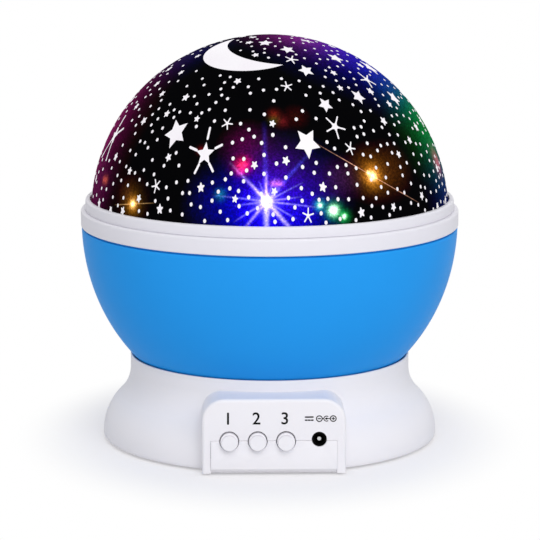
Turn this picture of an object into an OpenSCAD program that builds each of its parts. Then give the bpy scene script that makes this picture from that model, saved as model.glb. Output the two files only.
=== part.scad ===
// Star night light projector: a ball that turns in a flared base. The upper half of the ball is a
// black dome with clear stars, lit from inside by four lamps on a fixed tower.
// Units are millimetres. +Z is up, the front with its buttons faces -Y, and the origin is the centre
// of the ball's footprint, on the plane that the rubber feet stand on.

/* [Ball] */
// Height of the dome's centre
dome_z = 78.4; // [77:0.1:80]
// Outer radius of the star dome
dome_r = 62; // [61.6:0.1:62]
// Outer radius of the white ring round the bowl
ring_r = 65.4; // [65:0.1:66]
// Height of the bowl's upper edge
bowl_top_z = 74.9; // [74.5:0.1:75]
// Wall of the coloured bowl
bowl_wall = 2; // [1.6:0.1:2.2]

/* [Base] */
// Radius of the base at its foot
foot_r = 58.2; // [57.5:0.1:59]
// Radius of the base's neck
neck_r = 48.6; // [48.4:0.1:49]
// Height of the neck's lip
lip_z = 29.8; // [29.5:0.1:30]
// Wall of the base housing
base_wall = 2; // [1.6:0.1:2.2]
// Height of the base's lower edge over the table
edge_z = 0.8; // [0.6:0.1:1]

/* [Control panel] */
// Width of the raised panel
panel_w = 47.8; // [47:0.1:50]
// Height of the panel's upper edge
panel_top_z = 26; // [25.5:0.1:26.2]
// Distance of the panel's face from the ball's axis
panel_y = 59; // [58.8:0.1:59.4]
// Diameter of a push button
button_d = 6; // [5:0.1:6.4]
// How far a button stands out of the panel
button_out = 2.6; // [1.5:0.1:3]
// Distance between two buttons
button_pitch = 9.4; // [9:0.1:9.6]
// Diameter of the power socket's bore
socket_d = 3.6; // [3.5:0.1:3.8]

/* [Drive] */
// Gear module
gear_module = 1; // [1:1:1]
// Teeth of the ring gear inside the bowl
ring_teeth = 52; // [52:1:52]
// Teeth of the motor's pinion
pinion_teeth = 12; // [12:1:12]

/* [Cells] */
// Diameter of one AAA cell
cell_d = 10.5; // [10.3:0.1:10.5]
// Length of one AAA cell with its nub
cell_l = 44.5; // [44:0.1:44.5]

/* [Hidden] */
$fn = 96;

white = [0.93, 0.93, 0.95];
blue = [0.12, 0.52, 0.92];
steel = [0.75, 0.75, 0.77];
gap = 0.15;                     // play round a fixed joint line
eps = 0.01;                     // overlap that joins two solids

// The bowl: a deep curve that closes towards the drive
bowl_r = ring_r - 0.2;
bowl_mid_z = 77.2;
bowl_drop = 67.5;
bowl_power = 2.075;
bowl_floor_z = 19.3;
bowl_floor_t = 2;

// The base's flare: one rounded foot and one hollow neck, which meet on a slope
foot_bulge = 17.9;
foot_bulge_z = edge_z + 1.5;
neck_hollow_z = 25;
lip_r = 48.05;
cup_r = 46.6;
deck_z = 16.2;
deck_t = 2;

// Bearing, drive and lamp tower
spindle_r = 10;
spindle_bore = 7.5;
hub_bore = 10.15;
hub_r = 12.4;
hub_top_z = 26.6;
tower_z = 27.3;
tower_t = 2;
tower_r = 29;
tower_top_z = 57;
lamp_z = 62;
board_t = 1.6;
ring_pitch_r = gear_module * ring_teeth / 2;
pinion_pitch_r = gear_module * pinion_teeth / 2;
pinion_x = ring_pitch_r - pinion_pitch_r;
gear_z = bowl_floor_z + bowl_floor_t;
gear_t = 5;
pressure = 20;
backlash = 0.09;

// Dome ring and its twist lock
lock_z = 75.1;
ring_top_z = 80.6;
lock_lip = 2.5;
lug_swing = 28;
lug_half = 12;
notch_half = 13;
skirt_r = 60.9;
lock_bore = 61.2;
lock_channel = 62.7;
dome_edge_z = 81.9;
dome_ring_top_z = 84.4;
clear_t = 1.4;
mask_t = 0.38;

// Controls, on the line where the base plate's tab meets the housing
split_z = 11.9;
tab_half = 20.9;
tab_out = 0.6;
button_x = [-14.8, -14.8 + button_pitch, -14.8 + 2 * button_pitch];
socket_x = 15;
socket_z = 12.4;
board_y = -50;
board_front_y = board_y - board_t;
switch_t = 3;
plunger_out = 1.45;
plunger_deep = 0.7;
button_travel = 0.9;
flange_y = -56.9;
flange_t = 0.8;

// Battery bay
bay_y = 9;
bay_l = 50;
bay_half = 21.9;
bay_roof_z = 13.7;
bay_wall = 1.4;
cell_z = 8.3;
cell_pitch = 10.6;
plate_z = 1;
plate_t = 1.8;
plate_r = 56;
door_half = 23;
door_t = 1.4;
hinge_y = bay_y + bay_l / 2 + 0.9;
hinge_z = plate_z + door_t / 2;
screw_r = 48;
screw_angles = [20, 160, 200, 340];
foot_pad_r = 49;
foot_pads = [45, 135, 225, 315];

// Stars cut in the mask: azimuth from the front, height over the dome's equator, radius, turn, kind
STAR = 0;
RAYED = 1;
mask_stars = [
    [-38, 33, 5.2, 29, STAR], [-24, 27, 8.4, 2, RAYED], [12, 31, 5.2, 180, STAR],
    [24, 36, 4.4, 182, RAYED], [23, 44, 2.9, 24, STAR], [42, 46, 3, 30, STAR],
    [67, 43, 3.2, 20, STAR], [54, 64, 3, 20, STAR], [21, 59, 3, 10, STAR],
    [17, 72, 2.8, 10, STAR], [-8, 78, 2.8, 0, STAR], [58, 52, 4, 10, RAYED],
    [80, 56, 4, 10, STAR], [-76, 28, 8.4, -10, RAYED], [-110, 52, 4.4, 0, STAR],
    [-128, 26, 7.8, 12, RAYED], [-150, 44, 5.2, 30, STAR], [-172, 22, 4.6, 0, STAR],
    [172, 58, 4.4, 15, RAYED], [150, 30, 5.2, 180, STAR], [126, 50, 4, 8, STAR],
    [104, 27, 8, 0, RAYED], [100, 66, 3.2, 25, STAR]
];
// The crescent is one round patch less another: azimuth, height and radius of each
moon_patch = [-23, 73, 15.5];
moon_shade = [21, 79.5, 18.4];

// Leads, as the points that each one follows
battery_routes = [
    [[-17, -15.98, 8], [-17, -19, 8], [-17, -24, 9], [-16, -30, 10], [-14, -38, 11],
        [-13, -45, 12], [-13, -49.9, 12]],
    [[17, -15.98, 8], [17, -19, 8], [16, -24, 9], [12, -30, 10], [3, -37, 11],
        [-6, -43, 12], [-9.5, -46, 12], [-10, -49.9, 12]]];
motor_trunk = [[-4, -49.9, 14], [-4, -46, 14.2], [-4, -41, 15], [-4, -34, 15.45], [-4, -24, 15.45],
    [-4, -14, 15.45], [-3.6, -6.6, 15.5], [-3, -3.8, 17], [-3, -3.2, 21], [-3, -3, 28],
    [-2, -3, 36], [0, -3.5, 44]];
motor_ends = [[[4, -4.6, 50.5], [9, -4.6, 53.2], [14, -3.4, 53.5], [16.95, -3.1, 53.4]],
    [[4, -1.6, 50], [8, 1, 53.8], [13.5, 2.8, 54.6], [16.95, 3.2, 54.5]]];
lamp_route = [[4, -49.9, 14], [4, -46, 14.2], [4, -41, 15], [4, -34, 15.45], [4, -24, 15.45],
    [4, -14, 15.45], [3.6, -6.6, 15.5], [3, -3.8, 17], [3, -3.2, 21], [3, -3, 28], [2, -2.5, 36],
    [1, -1, 46], [0, 0, 54], [0, 0, 61.98]];
lead_d = 1;
lead_apart = 0.65;

// ---------- curves and shared shapes ----------

function bowl_outer(z) =
    bowl_r * pow(1 - pow((bowl_mid_z - z) / bowl_drop, bowl_power), 1 / bowl_power);
function bowl_inner(z) =
    (bowl_r - bowl_wall)
    * pow(1 - pow((bowl_mid_z - z) / (bowl_drop - bowl_wall), bowl_power), 1 / bowl_power);
function steps(from, to, count) = [for (i = [0 : count]) from + (to - from) * i / count];

// The foot's round and the neck's hollow touch at one angle, on a common slope
flare_in = foot_r - neck_r;
flare_up = neck_hollow_z - foot_bulge_z;
flare_reach = (flare_in * flare_in + flare_up * flare_up) / (2 * flare_in);
neck_hollow = flare_reach - foot_bulge;
flare_turn = asin(flare_up / flare_reach);
// Points on each round, grown or shrunk to radius r, between two angles
function foot_curve(r, from, to, count) =
    [for (a = steps(from, to, count))
        [foot_r - foot_bulge + r * cos(a), foot_bulge_z + r * sin(a)]];
function neck_curve(r, from, to, count) =
    [for (a = steps(from, to, count))
        [neck_r + neck_hollow - r * cos(a), neck_hollow_z - r * sin(a)]];

function involute(r, base_r) =
    let (t = sqrt(max(0, pow(r / base_r, 2) - 1))) t * 180 / PI - atan(t);
// Half the angle of one tooth at radius r, thinner by play on each flank
function tooth_half(r, teeth, play) =
    let (pitch_r = gear_module * teeth / 2, base_r = pitch_r * cos(pressure))
    90 / teeth - play / pitch_r * 180 / PI + involute(pitch_r, base_r)
    - involute(max(r, base_r), base_r);
function gear_points(teeth, root_r, tip_r, play, flank_steps) = [
    for (k = [0 : teeth - 1], side = [-1, 1], i = [0 : flank_steps])
        let (r = side < 0 ? root_r + (tip_r - root_r) * i / flank_steps
                : tip_r - (tip_r - root_r) * i / flank_steps,
            a = 360 * k / teeth + side * tooth_half(r, teeth, play))
        [r * cos(a), r * sin(a)]
];

module at_angles(angles, radius) {
    for (a = angles) rotate([0, 0, a]) translate([radius, 0, 0]) children();
}

module tube(outer, inner, height) {
    difference() {
        cylinder(r = outer, h = height);
        translate([0, 0, -1]) cylinder(r = inner, h = height + 2);
    }
}

// A screw with a domed head, head up, whose shank hangs below z = 0
module screw(head_r, head_t, shank_r, shank_l) {
    difference() {
        union() {
            cylinder(r1 = head_r, r2 = head_r * 0.8, h = head_t);
            translate([0, 0, -shank_l]) cylinder(r = shank_r, h = shank_l + eps);
        }
        for (a = [0, 90]) rotate([0, 0, a])
            translate([-head_r * 0.6, -head_r * 0.12, head_t * 0.5])
                cube([head_r * 1.2, head_r * 0.24, head_t]);
    }
}

// Points between the corners of a route, on one smooth line
function spline(p, i, t) =
    let (a = p[max(i - 1, 0)], b = p[i], c = p[i + 1], d = p[min(i + 2, len(p) - 1)])
    0.5 * (2 * b + (c - a) * t + (2 * a - 5 * b + 4 * c - d) * t * t
        + (3 * b - a - 3 * c + d) * t * t * t);
function smooth_route(p, parts) =
    concat([for (i = [0 : len(p) - 2], k = [0 : parts - 1]) spline(p, i, k / parts)],
        [p[len(p) - 1]]);
function unit(v) = v / norm(v);
function heading(p, i) = unit(p[min(i + 1, len(p) - 1)] - p[max(i - 1, 0)]);
function side_of(p, i) =
    let (n = i == 0 ? [1, 0, 0] : side_of(p, i - 1), h = heading(p, i)) unit(n - h * (n * h));

// One lead that follows its route, beside it by shift
module lead(route, shift, tint) {
    sides = 8;
    middle = smooth_route(route, 2);
    last = len(middle) - 1;
    line = [for (i = [0 : last]) middle[i] + side_of(middle, i) * shift];
    rings = [for (i = [0 : last], k = [0 : sides - 1])
        let (n = side_of(line, i), b = cross(heading(line, i), n), a = 360 * k / sides)
        line[i] + lead_d / 2 * (n * cos(a) + b * sin(a))];
    color(tint) skin(rings, sides);
}

// A closed tube through rings of points, each ring with this many sides
module skin(rings, sides) {
    last = len(rings) / sides - 1;
    polyhedron(
        points = rings,
        faces = concat(
            [[for (k = [sides - 1 : -1 : 0]) k]],
            [for (i = [0 : last - 1], k = [0 : sides - 1])
                [i * sides + k, i * sides + (k + 1) % sides,
                    (i + 1) * sides + (k + 1) % sides, (i + 1) * sides + k]],
            [[for (k = [0 : sides - 1]) last * sides + k]]));
}

// ---------- base ----------

// Outline of the raised panel, seen from the front, grown by grow
module panel_outline(grow) {
    half = panel_w / 2 + grow;
    top = panel_top_z + grow;
    corner = 6.5 + grow;
    translate([-half, edge_z]) square([2 * half, top - corner - edge_z]);
    translate([-half + corner, edge_z]) square([2 * (half - corner), top - edge_z]);
    for (s = [-1, 1]) translate([s * (half - corner), top - corner]) circle(r = corner);
}

module along_y(from, to) {
    translate([0, to, 0]) rotate([90, 0, 0]) linear_extrude(to - from) children();
}

// The hollow under the deck, down its flared wall
hollow_foot = foot_bulge - base_wall;
hollow_neck = neck_hollow + base_wall;
hollow_wall = concat(
    neck_curve(hollow_neck, asin((neck_hollow_z - deck_z) / hollow_neck), flare_turn - 3, 3),
    foot_curve(hollow_foot, flare_turn, 0, 6),
    [[foot_r - base_wall, edge_z]]);

module housing_shell() {
    rotate_extrude() polygon(concat(
        [[foot_r - 0.8, edge_z], [foot_r - 0.2, edge_z + 0.2], [foot_r, edge_z + 0.8]],
        foot_curve(foot_bulge, 0, flare_turn, 9),
        neck_curve(neck_hollow, flare_turn - 5, 0, 7),
        [[neck_r, lip_z - 0.7], [neck_r - 0.2, lip_z - 0.2], [neck_r - 0.4, lip_z],
            [lip_r, lip_z], [47.2, lip_z - 1.3], [cup_r, lip_z - 3], [cup_r, deck_z + deck_t],
            [spindle_r, deck_z + deck_t], [spindle_r, tower_z], [spindle_bore, tower_z],
            [spindle_bore, deck_z]],
        hollow_wall));
}

// The raised panel's own block, which starts outside the cup and the hollow
module panel_body() {
    difference() {
        panel_block();
        translate([0, 0, deck_z]) cylinder(r = lip_r + 0.2, h = 20);
        rotate_extrude() polygon(concat([[0, -1], [0, deck_z + eps]], hollow_wall,
            [[foot_r - base_wall, -1]]));
    }
}

module panel_block() {
    bevel = 0.8;
    intersection() {
        along_y(-panel_y, -40) panel_outline(0);
        union() {
            along_y(-panel_y + bevel, -40) panel_outline(0);
            along_y(-panel_y, -50) panel_outline(-bevel);
            translate([-panel_w / 2 + bevel, -panel_y, edge_z])
                cube([panel_w - 2 * bevel, 2, 6]);
        }
    }
}

module panel_cavity() {
    along_y(-panel_y + base_wall, -49.3) intersection() {
        panel_outline(-base_wall);
        translate([-40, -1]) square([80, 40]);
    }
    translate([-panel_w / 2 + base_wall, -panel_y + base_wall, edge_z - 1])
        cube([panel_w - 2 * base_wall, panel_y - base_wall - 44, deck_z - edge_z + 1]);
}

module base_housing() {
    color(white) difference() {
        union() {
            difference() {
                union() {
                    housing_shell();
                    panel_body();
                }
                panel_cavity();
            }
            // Posts that take the screws of the base plate and of the control board
            at_angles(screw_angles, screw_r) translate([0, 0, 5.2])
                cylinder(r = 3.2, h = deck_z - 5);
            for (s = [-1, 1]) translate([s * 19.6 - 1.6, -50 + eps, 6])
                cube([3.2, 5, deck_z - 5.8]);
        }
        at_angles(screw_angles, screw_r) translate([0, 0, 4]) cylinder(r = 1.3, h = 9);
        // Opening for the base plate's tab, then the upper halves of the button and socket holes
        translate([-tab_half - gap, -panel_y - 1, -1])
            cube([2 * (tab_half + gap), 4, split_z + 1]);
        control_holes();
        for (s = [-1, 1]) translate([s * 19.6, -47, 14]) rotate([90, 0, 0])
            cylinder(r = 0.8, h = 5);
        // Screw holes in the spindle's end
        at_angles([90, 210, 330], 8.75) translate([0, 0, tower_z - 6]) cylinder(r = 0.8, h = 8);
        // Pocket that seats the glide ring
        translate([0, 0, deck_z + deck_t - 0.3]) tube(31.1, 26.9, 2);
    }
}

module control_holes() {
    for (x = button_x) translate([x, -panel_y - 3, split_z]) rotate([-90, 0, 0])
        cylinder(d = button_d + 0.6, h = 8);
    translate([socket_x, -panel_y - 3, socket_z]) rotate([-90, 0, 0])
        cylinder(d = 5, h = 8);
}

module plate_tab() {
    bevel = 1.6;
    difference() {
        translate([-tab_half, -panel_y - tab_out, edge_z])
            cube([2 * tab_half, 2 + tab_out, split_z - edge_z]);
        translate([0, -panel_y - tab_out, edge_z]) rotate([45, 0, 0])
            cube([60, bevel * 1.4, bevel * 1.4], center = true);
        control_holes();
    }
    translate([-tab_half, -panel_y + 1, plate_z]) cube([2 * tab_half, 8, plate_t]);
}

module base_plate() {
    color(white) difference() {
        union() {
            translate([0, 0, plate_z]) cylinder(r = plate_r, h = plate_t);
            plate_tab();
            // Walls and roof of the battery bay
            translate([-bay_half - bay_wall, bay_y - bay_l / 2 - bay_wall, plate_z])
                cube([2 * (bay_half + bay_wall), bay_l + 2 * bay_wall, bay_roof_z + 1 - plate_z]);
            at_angles(screw_angles, screw_r) translate([0, 0, plate_z]) cylinder(r = 4, h = 4);
        }
        translate([-bay_half, bay_y - bay_l / 2, 0]) cube([2 * bay_half, bay_l, bay_roof_z]);
        door_recess();
        at_angles(screw_angles, screw_r) {
            cylinder(r = 1.5, h = 9);
            translate([0, 0, -1]) cylinder(r = 2.9, h = 4.4);
        }
        at_angles(foot_pads, foot_pad_r) cylinder(r = 4.6, h = 1.8);
        for (s = [-1, 1]) translate([s * 17, -15, 8]) rotate([90, 0, 0]) cylinder(r = 0.6, h = 6);
    }
}

module door_recess() {
    play = gap;
    y0 = bay_y - bay_l / 2 - 1.5 - play;
    translate([-door_half - play, y0, 0])
        cube([2 * (door_half + play), hinge_y + 0.85 - y0, plate_z + door_t + 0.05]);
    // Finger scoop beside the latch
    translate([-7, y0 - 4.5, 0]) cube([14, 5, plate_z + 1.1]);
}

module battery_door() {
    y0 = bay_y - bay_l / 2 - 1.5;
    color(white) difference() {
        union() {
            translate([-door_half, y0, plate_z])
                cube([2 * door_half, hinge_y - y0, door_t]);
            translate([-door_half, hinge_y, hinge_z]) rotate([0, 90, 0])
                cylinder(d = door_t, h = 2 * door_half);
            translate([-5, y0 - 1.6, plate_z]) cube([10, 1.7, door_t * 0.7]);
        }
        // Grip lines, and the slots that let the latch flex
        for (k = [0 : 4]) translate([-6, y0 + 2 + k * 1.6, plate_z - 0.5])
            cube([12, 0.7, 0.9]);
        for (s = [-1, 1]) translate([s * 7.5 - 0.5, y0 - 1, plate_z - 1]) cube([1, 10, 4]);
    }
}

module aaa_cells() {
    nub_l = 1.2;
    for (k = [0 : 3]) {
        flip = k % 2;
        y0 = bay_y - bay_l / 2 + (flip == 0 ? 5 : 0.5);
        color("darkgoldenrod") translate([(k - 1.5) * cell_pitch, y0, cell_z])
            rotate([-90, 0, 0]) union() {
                translate([0, 0, flip == 0 ? 0 : nub_l]) cylinder(d = cell_d, h = cell_l - nub_l);
                translate([0, 0, flip == 0 ? cell_l - nub_l - eps : 0])
                    cylinder(r = 1.9, h = nub_l + eps);
            }
    }
}

// One coil spring that presses on the flat end of a cell
module coil_spring(height, turns, wide, narrow) {
    sides = 6;
    per_turn = 12;
    last = turns * per_turn;
    wire = 0.35;
    line = [for (i = [0 : last])
        let (a = 360 * i / per_turn, r = wide + (narrow - wide) * i / last)
        [r * cos(a), r * sin(a), wire + (height - 2 * wire) * i / last]];
    rings = [for (i = [0 : last], k = [0 : sides - 1])
        let (h = heading(line, i), n = unit([line[i][0], line[i][1], 0]),
            m = unit(n - h * (n * h)), b = cross(h, m), a = 360 * k / sides)
        line[i] + wire * (m * cos(a) + b * sin(a))];
    skin(rings, sides);
}

module battery_springs() {
    spring_l = 4.3;
    color(steel) for (k = [0 : 3]) {
        flip = k % 2;
        y0 = flip == 0 ? bay_y - bay_l / 2 + 0.6 : bay_y + bay_l / 2 - 0.6;
        translate([(k - 1.5) * cell_pitch, y0, cell_z]) rotate([flip == 0 ? -90 : 90, 0, 0])
            coil_spring(spring_l, 4, 3.6, 2.4);
    }
}

module battery_contacts() {
    tab_t = 0.4;
    color(steel) {
        for (k = [0, 2]) translate([(k - 1) * cell_pitch - 9.9, bay_y + bay_l / 2 - tab_t - 0.05, 4])
            cube([19.8, tab_t, 8.6]);
        translate([-9.9, bay_y - bay_l / 2 + 0.05, 4]) cube([19.8, tab_t, 8.6]);
        for (s = [-1, 1]) translate([s * 15.9 - 4.4, bay_y - bay_l / 2 + 0.05, 4])
            cube([8.8, tab_t, 8.6]);
    }
}

module rubber_feet() {
    color([0.2, 0.2, 0.22]) at_angles(foot_pads, foot_pad_r) {
        cylinder(r1 = 4.1, r2 = 4.4, h = 0.3);
        translate([0, 0, 0.3 - eps]) cylinder(r = 4.4, h = 1.5);
    }
}

module base_screws() {
    color(steel) at_angles(screw_angles, screw_r) translate([0, 0, 3.35]) rotate([180, 0, 0])
        screw(2.5, 1.6, 1.28, 8.4);
}

// ---------- controls ----------

module control_board() {
    color("darkgreen") difference() {
        translate([-21, board_front_y, 4]) cube([42, board_t, 18]);
        for (s = [-1, 1]) translate([s * 19.6, board_y + 1, 14]) rotate([90, 0, 0])
            cylinder(r = 0.95, h = 5);
    }
}

module board_parts() {
    y = board_front_y;
    color([0.12, 0.12, 0.13]) {
        translate([-3.2, y - 1.3, 15.8]) cube([6.4, 1.3, 4.6]);
        for (k = [0 : 3]) translate([-15.5 + k * 2.6, y - 0.6, 18.4]) cube([1.2, 0.6, 2]);
        translate([8.5, y, 18.8]) rotate([90, 0, 0]) cylinder(r = 1.6, h = 3.4);
    }
}

module board_screws() {
    color(steel) for (s = [-1, 1]) translate([s * 19.6, board_front_y, 14]) rotate([90, 0, 0])
        screw(1.6, 1, 0.78, 4.4);
}

module tact_switches() {
    color([0.15, 0.15, 0.16]) for (x = button_x) difference() {
        translate([x - 3, board_front_y - switch_t, split_z - 3]) cube([6, switch_t, 6]);
        translate([x, board_front_y - switch_t + plunger_deep + button_travel + 0.2, split_z])
            rotate([90, 0, 0]) cylinder(r = 1.75, h = 6);
    }
}

module switch_plunger(x) {
    color("saddlebrown") translate([x, board_front_y - switch_t + plunger_deep, split_z])
        rotate([90, 0, 0]) cylinder(r = 1.65, h = plunger_deep + plunger_out);
}

module push_button(x) {
    face_y = -panel_y - button_out;
    bevel = 0.5;
    color(white) translate([x, face_y, split_z]) rotate([-90, 0, 0]) {
        cylinder(d1 = button_d - 2 * bevel, d2 = button_d, h = bevel);
        translate([0, 0, bevel - eps]) cylinder(d = button_d, h = flange_y - face_y - bevel + 2 * eps);
        translate([0, 0, flange_y - face_y]) cylinder(d = button_d + 2, h = flange_t);
    }
}

module power_socket() {
    nose_l = 2.2;
    bore_l = 5.6;
    half = 2.8;
    color([0.08, 0.08, 0.08]) difference() {
        union() {
            translate([socket_x, -panel_y, socket_z]) rotate([-90, 0, 0])
                cylinder(d = 4.8, h = nose_l + eps);
            translate([socket_x - half, -panel_y + nose_l, socket_z - half])
                cube([2 * half, panel_y - nose_l + board_front_y, 2 * half]);
        }
        translate([socket_x, -panel_y - 1, socket_z]) rotate([-90, 0, 0])
            cylinder(d = socket_d, h = bore_l + 1);
    }
}

module socket_pin() {
    color("silver") translate([socket_x, -panel_y + 0.7, socket_z]) rotate([-90, 0, 0])
        cylinder(r = 0.65, h = 4.9 - eps);
}

// ---------- bearing, drive and lamps ----------

module glide_ring() {
    color([0.96, 0.96, 0.9]) translate([0, 0, deck_z + deck_t - 0.3]) tube(31, 27, 1.35);
}

module thrust_washer() {
    color([0.96, 0.96, 0.9]) translate([0, 0, hub_top_z]) tube(hub_r, hub_bore + 0.1, 0.5);
}

module tower_base() {
    color(white) difference() {
        union() {
            translate([0, 0, tower_z]) cylinder(r = tower_r, h = tower_t);
            // Spigot in the spindle's bore, and the step that centres the cover
            translate([0, 0, tower_z - 5]) tube(spindle_bore - 0.05, 5.8, 5 + eps);
            translate([0, 0, tower_z + tower_t - eps]) tube(27.3, 26.3, 1.2);
        }
        translate([0, 0, tower_z - 6]) cylinder(r = 5.8, h = 12);
        at_angles([90, 210, 330], 8.75) translate([0, 0, tower_z - 1]) cylinder(r = 1.15, h = 5);
        translate([pinion_x, 0, tower_z - 1]) cylinder(r = 2.3, h = 5);
        for (s = [-1, 1]) translate([pinion_x, s * 4.5, tower_z - 1]) {
            cylinder(r = 0.9, h = 5);
            cylinder(r = 1.7, h = 2);
        }
    }
}

module tower_screws() {
    color(steel) at_angles([90, 210, 330], 8.75) translate([0, 0, tower_z + tower_t])
        screw(1.9, 1.1, 0.78, 6.5);
}

module tower_cover() {
    wall = 1.5;
    lead_hole = 5;
    color(white) difference() {
        union() {
            translate([0, 0, tower_z + tower_t]) cylinder(r = tower_r, h = tower_top_z - tower_z - 3);
            translate([0, 0, tower_top_z - 1 - eps]) cylinder(r1 = tower_r, r2 = tower_r - 1, h = 1);
            translate([0, 0, tower_top_z - 1]) cylinder(r1 = 18, r2 = 15, h = lamp_z - tower_top_z + 1);
        }
        translate([0, 0, tower_z]) cylinder(r = tower_r - wall, h = tower_top_z - tower_z - wall);
        translate([0, 0, tower_top_z - 3]) cylinder(r = lead_hole, h = 10);
        at_angles([0, 180], 10.5) translate([0, 0, lamp_z - 3]) cylinder(r = 0.8, h = 5);
    }
}

module gear_motor() {
    z0 = tower_z + tower_t;
    box_t = 9;
    can_t = 15;
    color(steel) difference() {
        union() {
            translate([pinion_x - 5, -6, z0]) cube([10, 12, box_t]);
            translate([pinion_x, 0, z0 + box_t - eps]) intersection() {
                cylinder(r = 6, h = can_t);
                translate([-5, -6, -1]) cube([10, 12, can_t + 2]);
            }
            for (s = [-1, 1]) translate([pinion_x - 3, s * 3 - 0.6, z0 + box_t + can_t - eps])
                cube([1, 1.2, 1.2]);
            translate([pinion_x, 0, z0 + box_t + can_t - eps]) cylinder(r = 1.6, h = 0.7);
        }
        translate([pinion_x, 0, z0 - 1]) cylinder(r = 1.56, h = 4.5);
        for (s = [-1, 1]) translate([pinion_x, s * 4.5, z0 - 1]) cylinder(r = 0.6, h = 4);
    }
}

module motor_screws() {
    color(steel) for (s = [-1, 1]) translate([pinion_x, s * 4.5, tower_z + 0.95])
        rotate([180, 0, 0]) screw(1.5, 0.8, 0.58, 3.6);
}

module motor_shaft() {
    color(steel) translate([pinion_x, 0, gear_z + 0.4]) cylinder(r = 1.5, h = 10.8);
}

module pinion() {
    root_r = pinion_pitch_r - 1.25;
    tip_r = pinion_pitch_r + 0.95;
    color([0.96, 0.96, 0.9]) translate([pinion_x, 0, gear_z + 0.5]) difference() {
        linear_extrude(gear_t - 0.7)
            polygon(gear_points(pinion_teeth, root_r, tip_r, backlash, 5));
        translate([0, 0, -1]) cylinder(r = 1.51, h = gear_t + 2);
    }
}

module ring_gear() {
    color([0.96, 0.96, 0.9]) translate([0, 0, gear_z]) difference() {
        cylinder(r = 31, h = gear_t);
        translate([0, 0, -1]) linear_extrude(gear_t + 2)
            polygon(gear_points(ring_teeth, 25.4, ring_pitch_r + 1.25, -backlash, 4));
        translate([0, 0, -1]) cylinder(r = 25.4, h = gear_t + 2);
        at_angles([30, 150, 270], 29.2) translate([0, 0, -1]) cylinder(r = 0.95, h = gear_t + 2);
    }
}

module gear_screws() {
    color(steel) at_angles([30, 150, 270], 29.2) translate([0, 0, gear_z + gear_t])
        screw(1.6, 0.7, 0.9, 6.2);
}

module lamp_board() {
    color("white") difference() {
        translate([0, 0, lamp_z]) cylinder(r = 13, h = board_t);
        at_angles([0, 180], 10.5) translate([0, 0, lamp_z - 1]) cylinder(r = 0.95, h = 4);
    }
}

module lamp_screws() {
    color(steel) at_angles([0, 180], 10.5) translate([0, 0, lamp_z + board_t])
        screw(1.6, 0.9, 0.78, 4);
}

// One 5 mm lamp: a flange, a barrel and a round lens
module lamp(angle, tint) {
    barrel_l = 6.1;
    color(tint) rotate([0, 0, angle]) translate([6, 0, lamp_z + board_t]) {
        cylinder(r = 2.9, h = 1);
        cylinder(r = 2.5, h = barrel_l);
        intersection() {
            translate([0, 0, barrel_l]) sphere(r = 2.5);
            translate([-3, -3, barrel_l - eps]) cube([6, 6, 3]);
        }
    }
}

module battery_leads() {
    lead(battery_routes[0], 0, "red");
    lead(battery_routes[1], 0, "black");
}

module motor_leads() {
    lead(concat(motor_trunk, motor_ends[0]), -lead_apart, "red");
    lead(concat(motor_trunk, motor_ends[1]), lead_apart, "black");
}

module lamp_leads() {
    lead(lamp_route, -lead_apart, "white");
    lead(lamp_route, lead_apart, "orange");
}

// ---------- ball ----------

module bowl() {
    color(blue) difference() {
        union() {
            rotate_extrude() polygon(concat(
                [[hub_bore, bowl_floor_z]],
                [for (z = steps(bowl_floor_z, bowl_top_z, 34)) [bowl_outer(z), z]],
                [for (z = steps(bowl_top_z, gear_z + 0.8, 30)) [bowl_inner(z), z]],
                [[33.4, gear_z], [hub_r, gear_z], [hub_r, hub_top_z], [hub_bore, hub_top_z]]));
            // Ledge that carries the reflector tray
            rotate_extrude() polygon([[63, 65.2], [60, 68], [60, 69.4], [63, 69.4]]);
        }
        at_angles([30, 150, 270], 29.2) translate([0, 0, gear_z - 1.4]) cylinder(r = 0.9, h = 3);
    }
}

module reflector_tray() {
    t = 1.5;
    color(white) rotate_extrude() polygon([
        [30.5, 58], [33, 58], [58, 68.6], [59.6, 69.45], [62.6, 69.45], [62.6, 71.4],
        [58.6, 71.4], [33, 58 + t], [30.5, 58 + t]]);
}

// Slices of a ring, centred on each of the three lock places and turned by turn
module lock_slices(turn, half, outer, inner, z0, z1) {
    for (k = [0 : 2]) rotate([0, 0, 90 + 120 * k + turn - half]) translate([0, 0, z0])
        rotate_extrude(angle = 2 * half) translate([inner, 0]) square([outer - inner, z1 - z0]);
}

module bowl_ring() {
    lip_low_z = ring_top_z - lock_lip;
    color(white) difference() {
        union() {
            rotate_extrude() polygon([
                [lock_channel, lock_z], [61.3, lock_z], [61.3, 71.5], [63, 71.5],
                [63, bowl_top_z], [ring_r, bowl_top_z], [ring_r, ring_top_z - 1],
                [ring_r - 0.25, ring_top_z - 0.4], [ring_r - 0.8, ring_top_z],
                [lock_bore, ring_top_z], [lock_bore, lip_low_z], [lock_channel, lip_low_z]]);
            // Stops at both ends of the lugs' travel
            for (turn = [-lug_swing - lug_half - 2, lug_half + 2.2])
                lock_slices(turn, 1, lock_channel + 0.2, 61.5, lock_z - 0.1, lip_low_z + 0.1);
        }
        lock_slices(0, notch_half, lock_channel - 0.2, 60, lip_low_z - 1, ring_top_z + 1);
    }
}

module dome_ring() {
    skirt_in = 58.6;
    color(white) union() {
        rotate_extrude() polygon([
            [skirt_in, 75.8], [skirt_r, 75.8], [skirt_r, ring_top_z + 0.1],
            [63.8, ring_top_z + 0.1], [63.8, 83.1], [63.65, 83.7], [63.3, 84.15],
            [62.8, dome_ring_top_z], [62.3, 84.3], [62.15, 84], [62.15, dome_edge_z - 0.1],
            [59.8, dome_edge_z - 0.1], [59.8, 83.4], [skirt_in, 83.4]]);
        lock_slices(-lug_swing, lug_half, 62.3, skirt_r - 0.3, 75.9, 77.7);
    }
}

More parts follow.
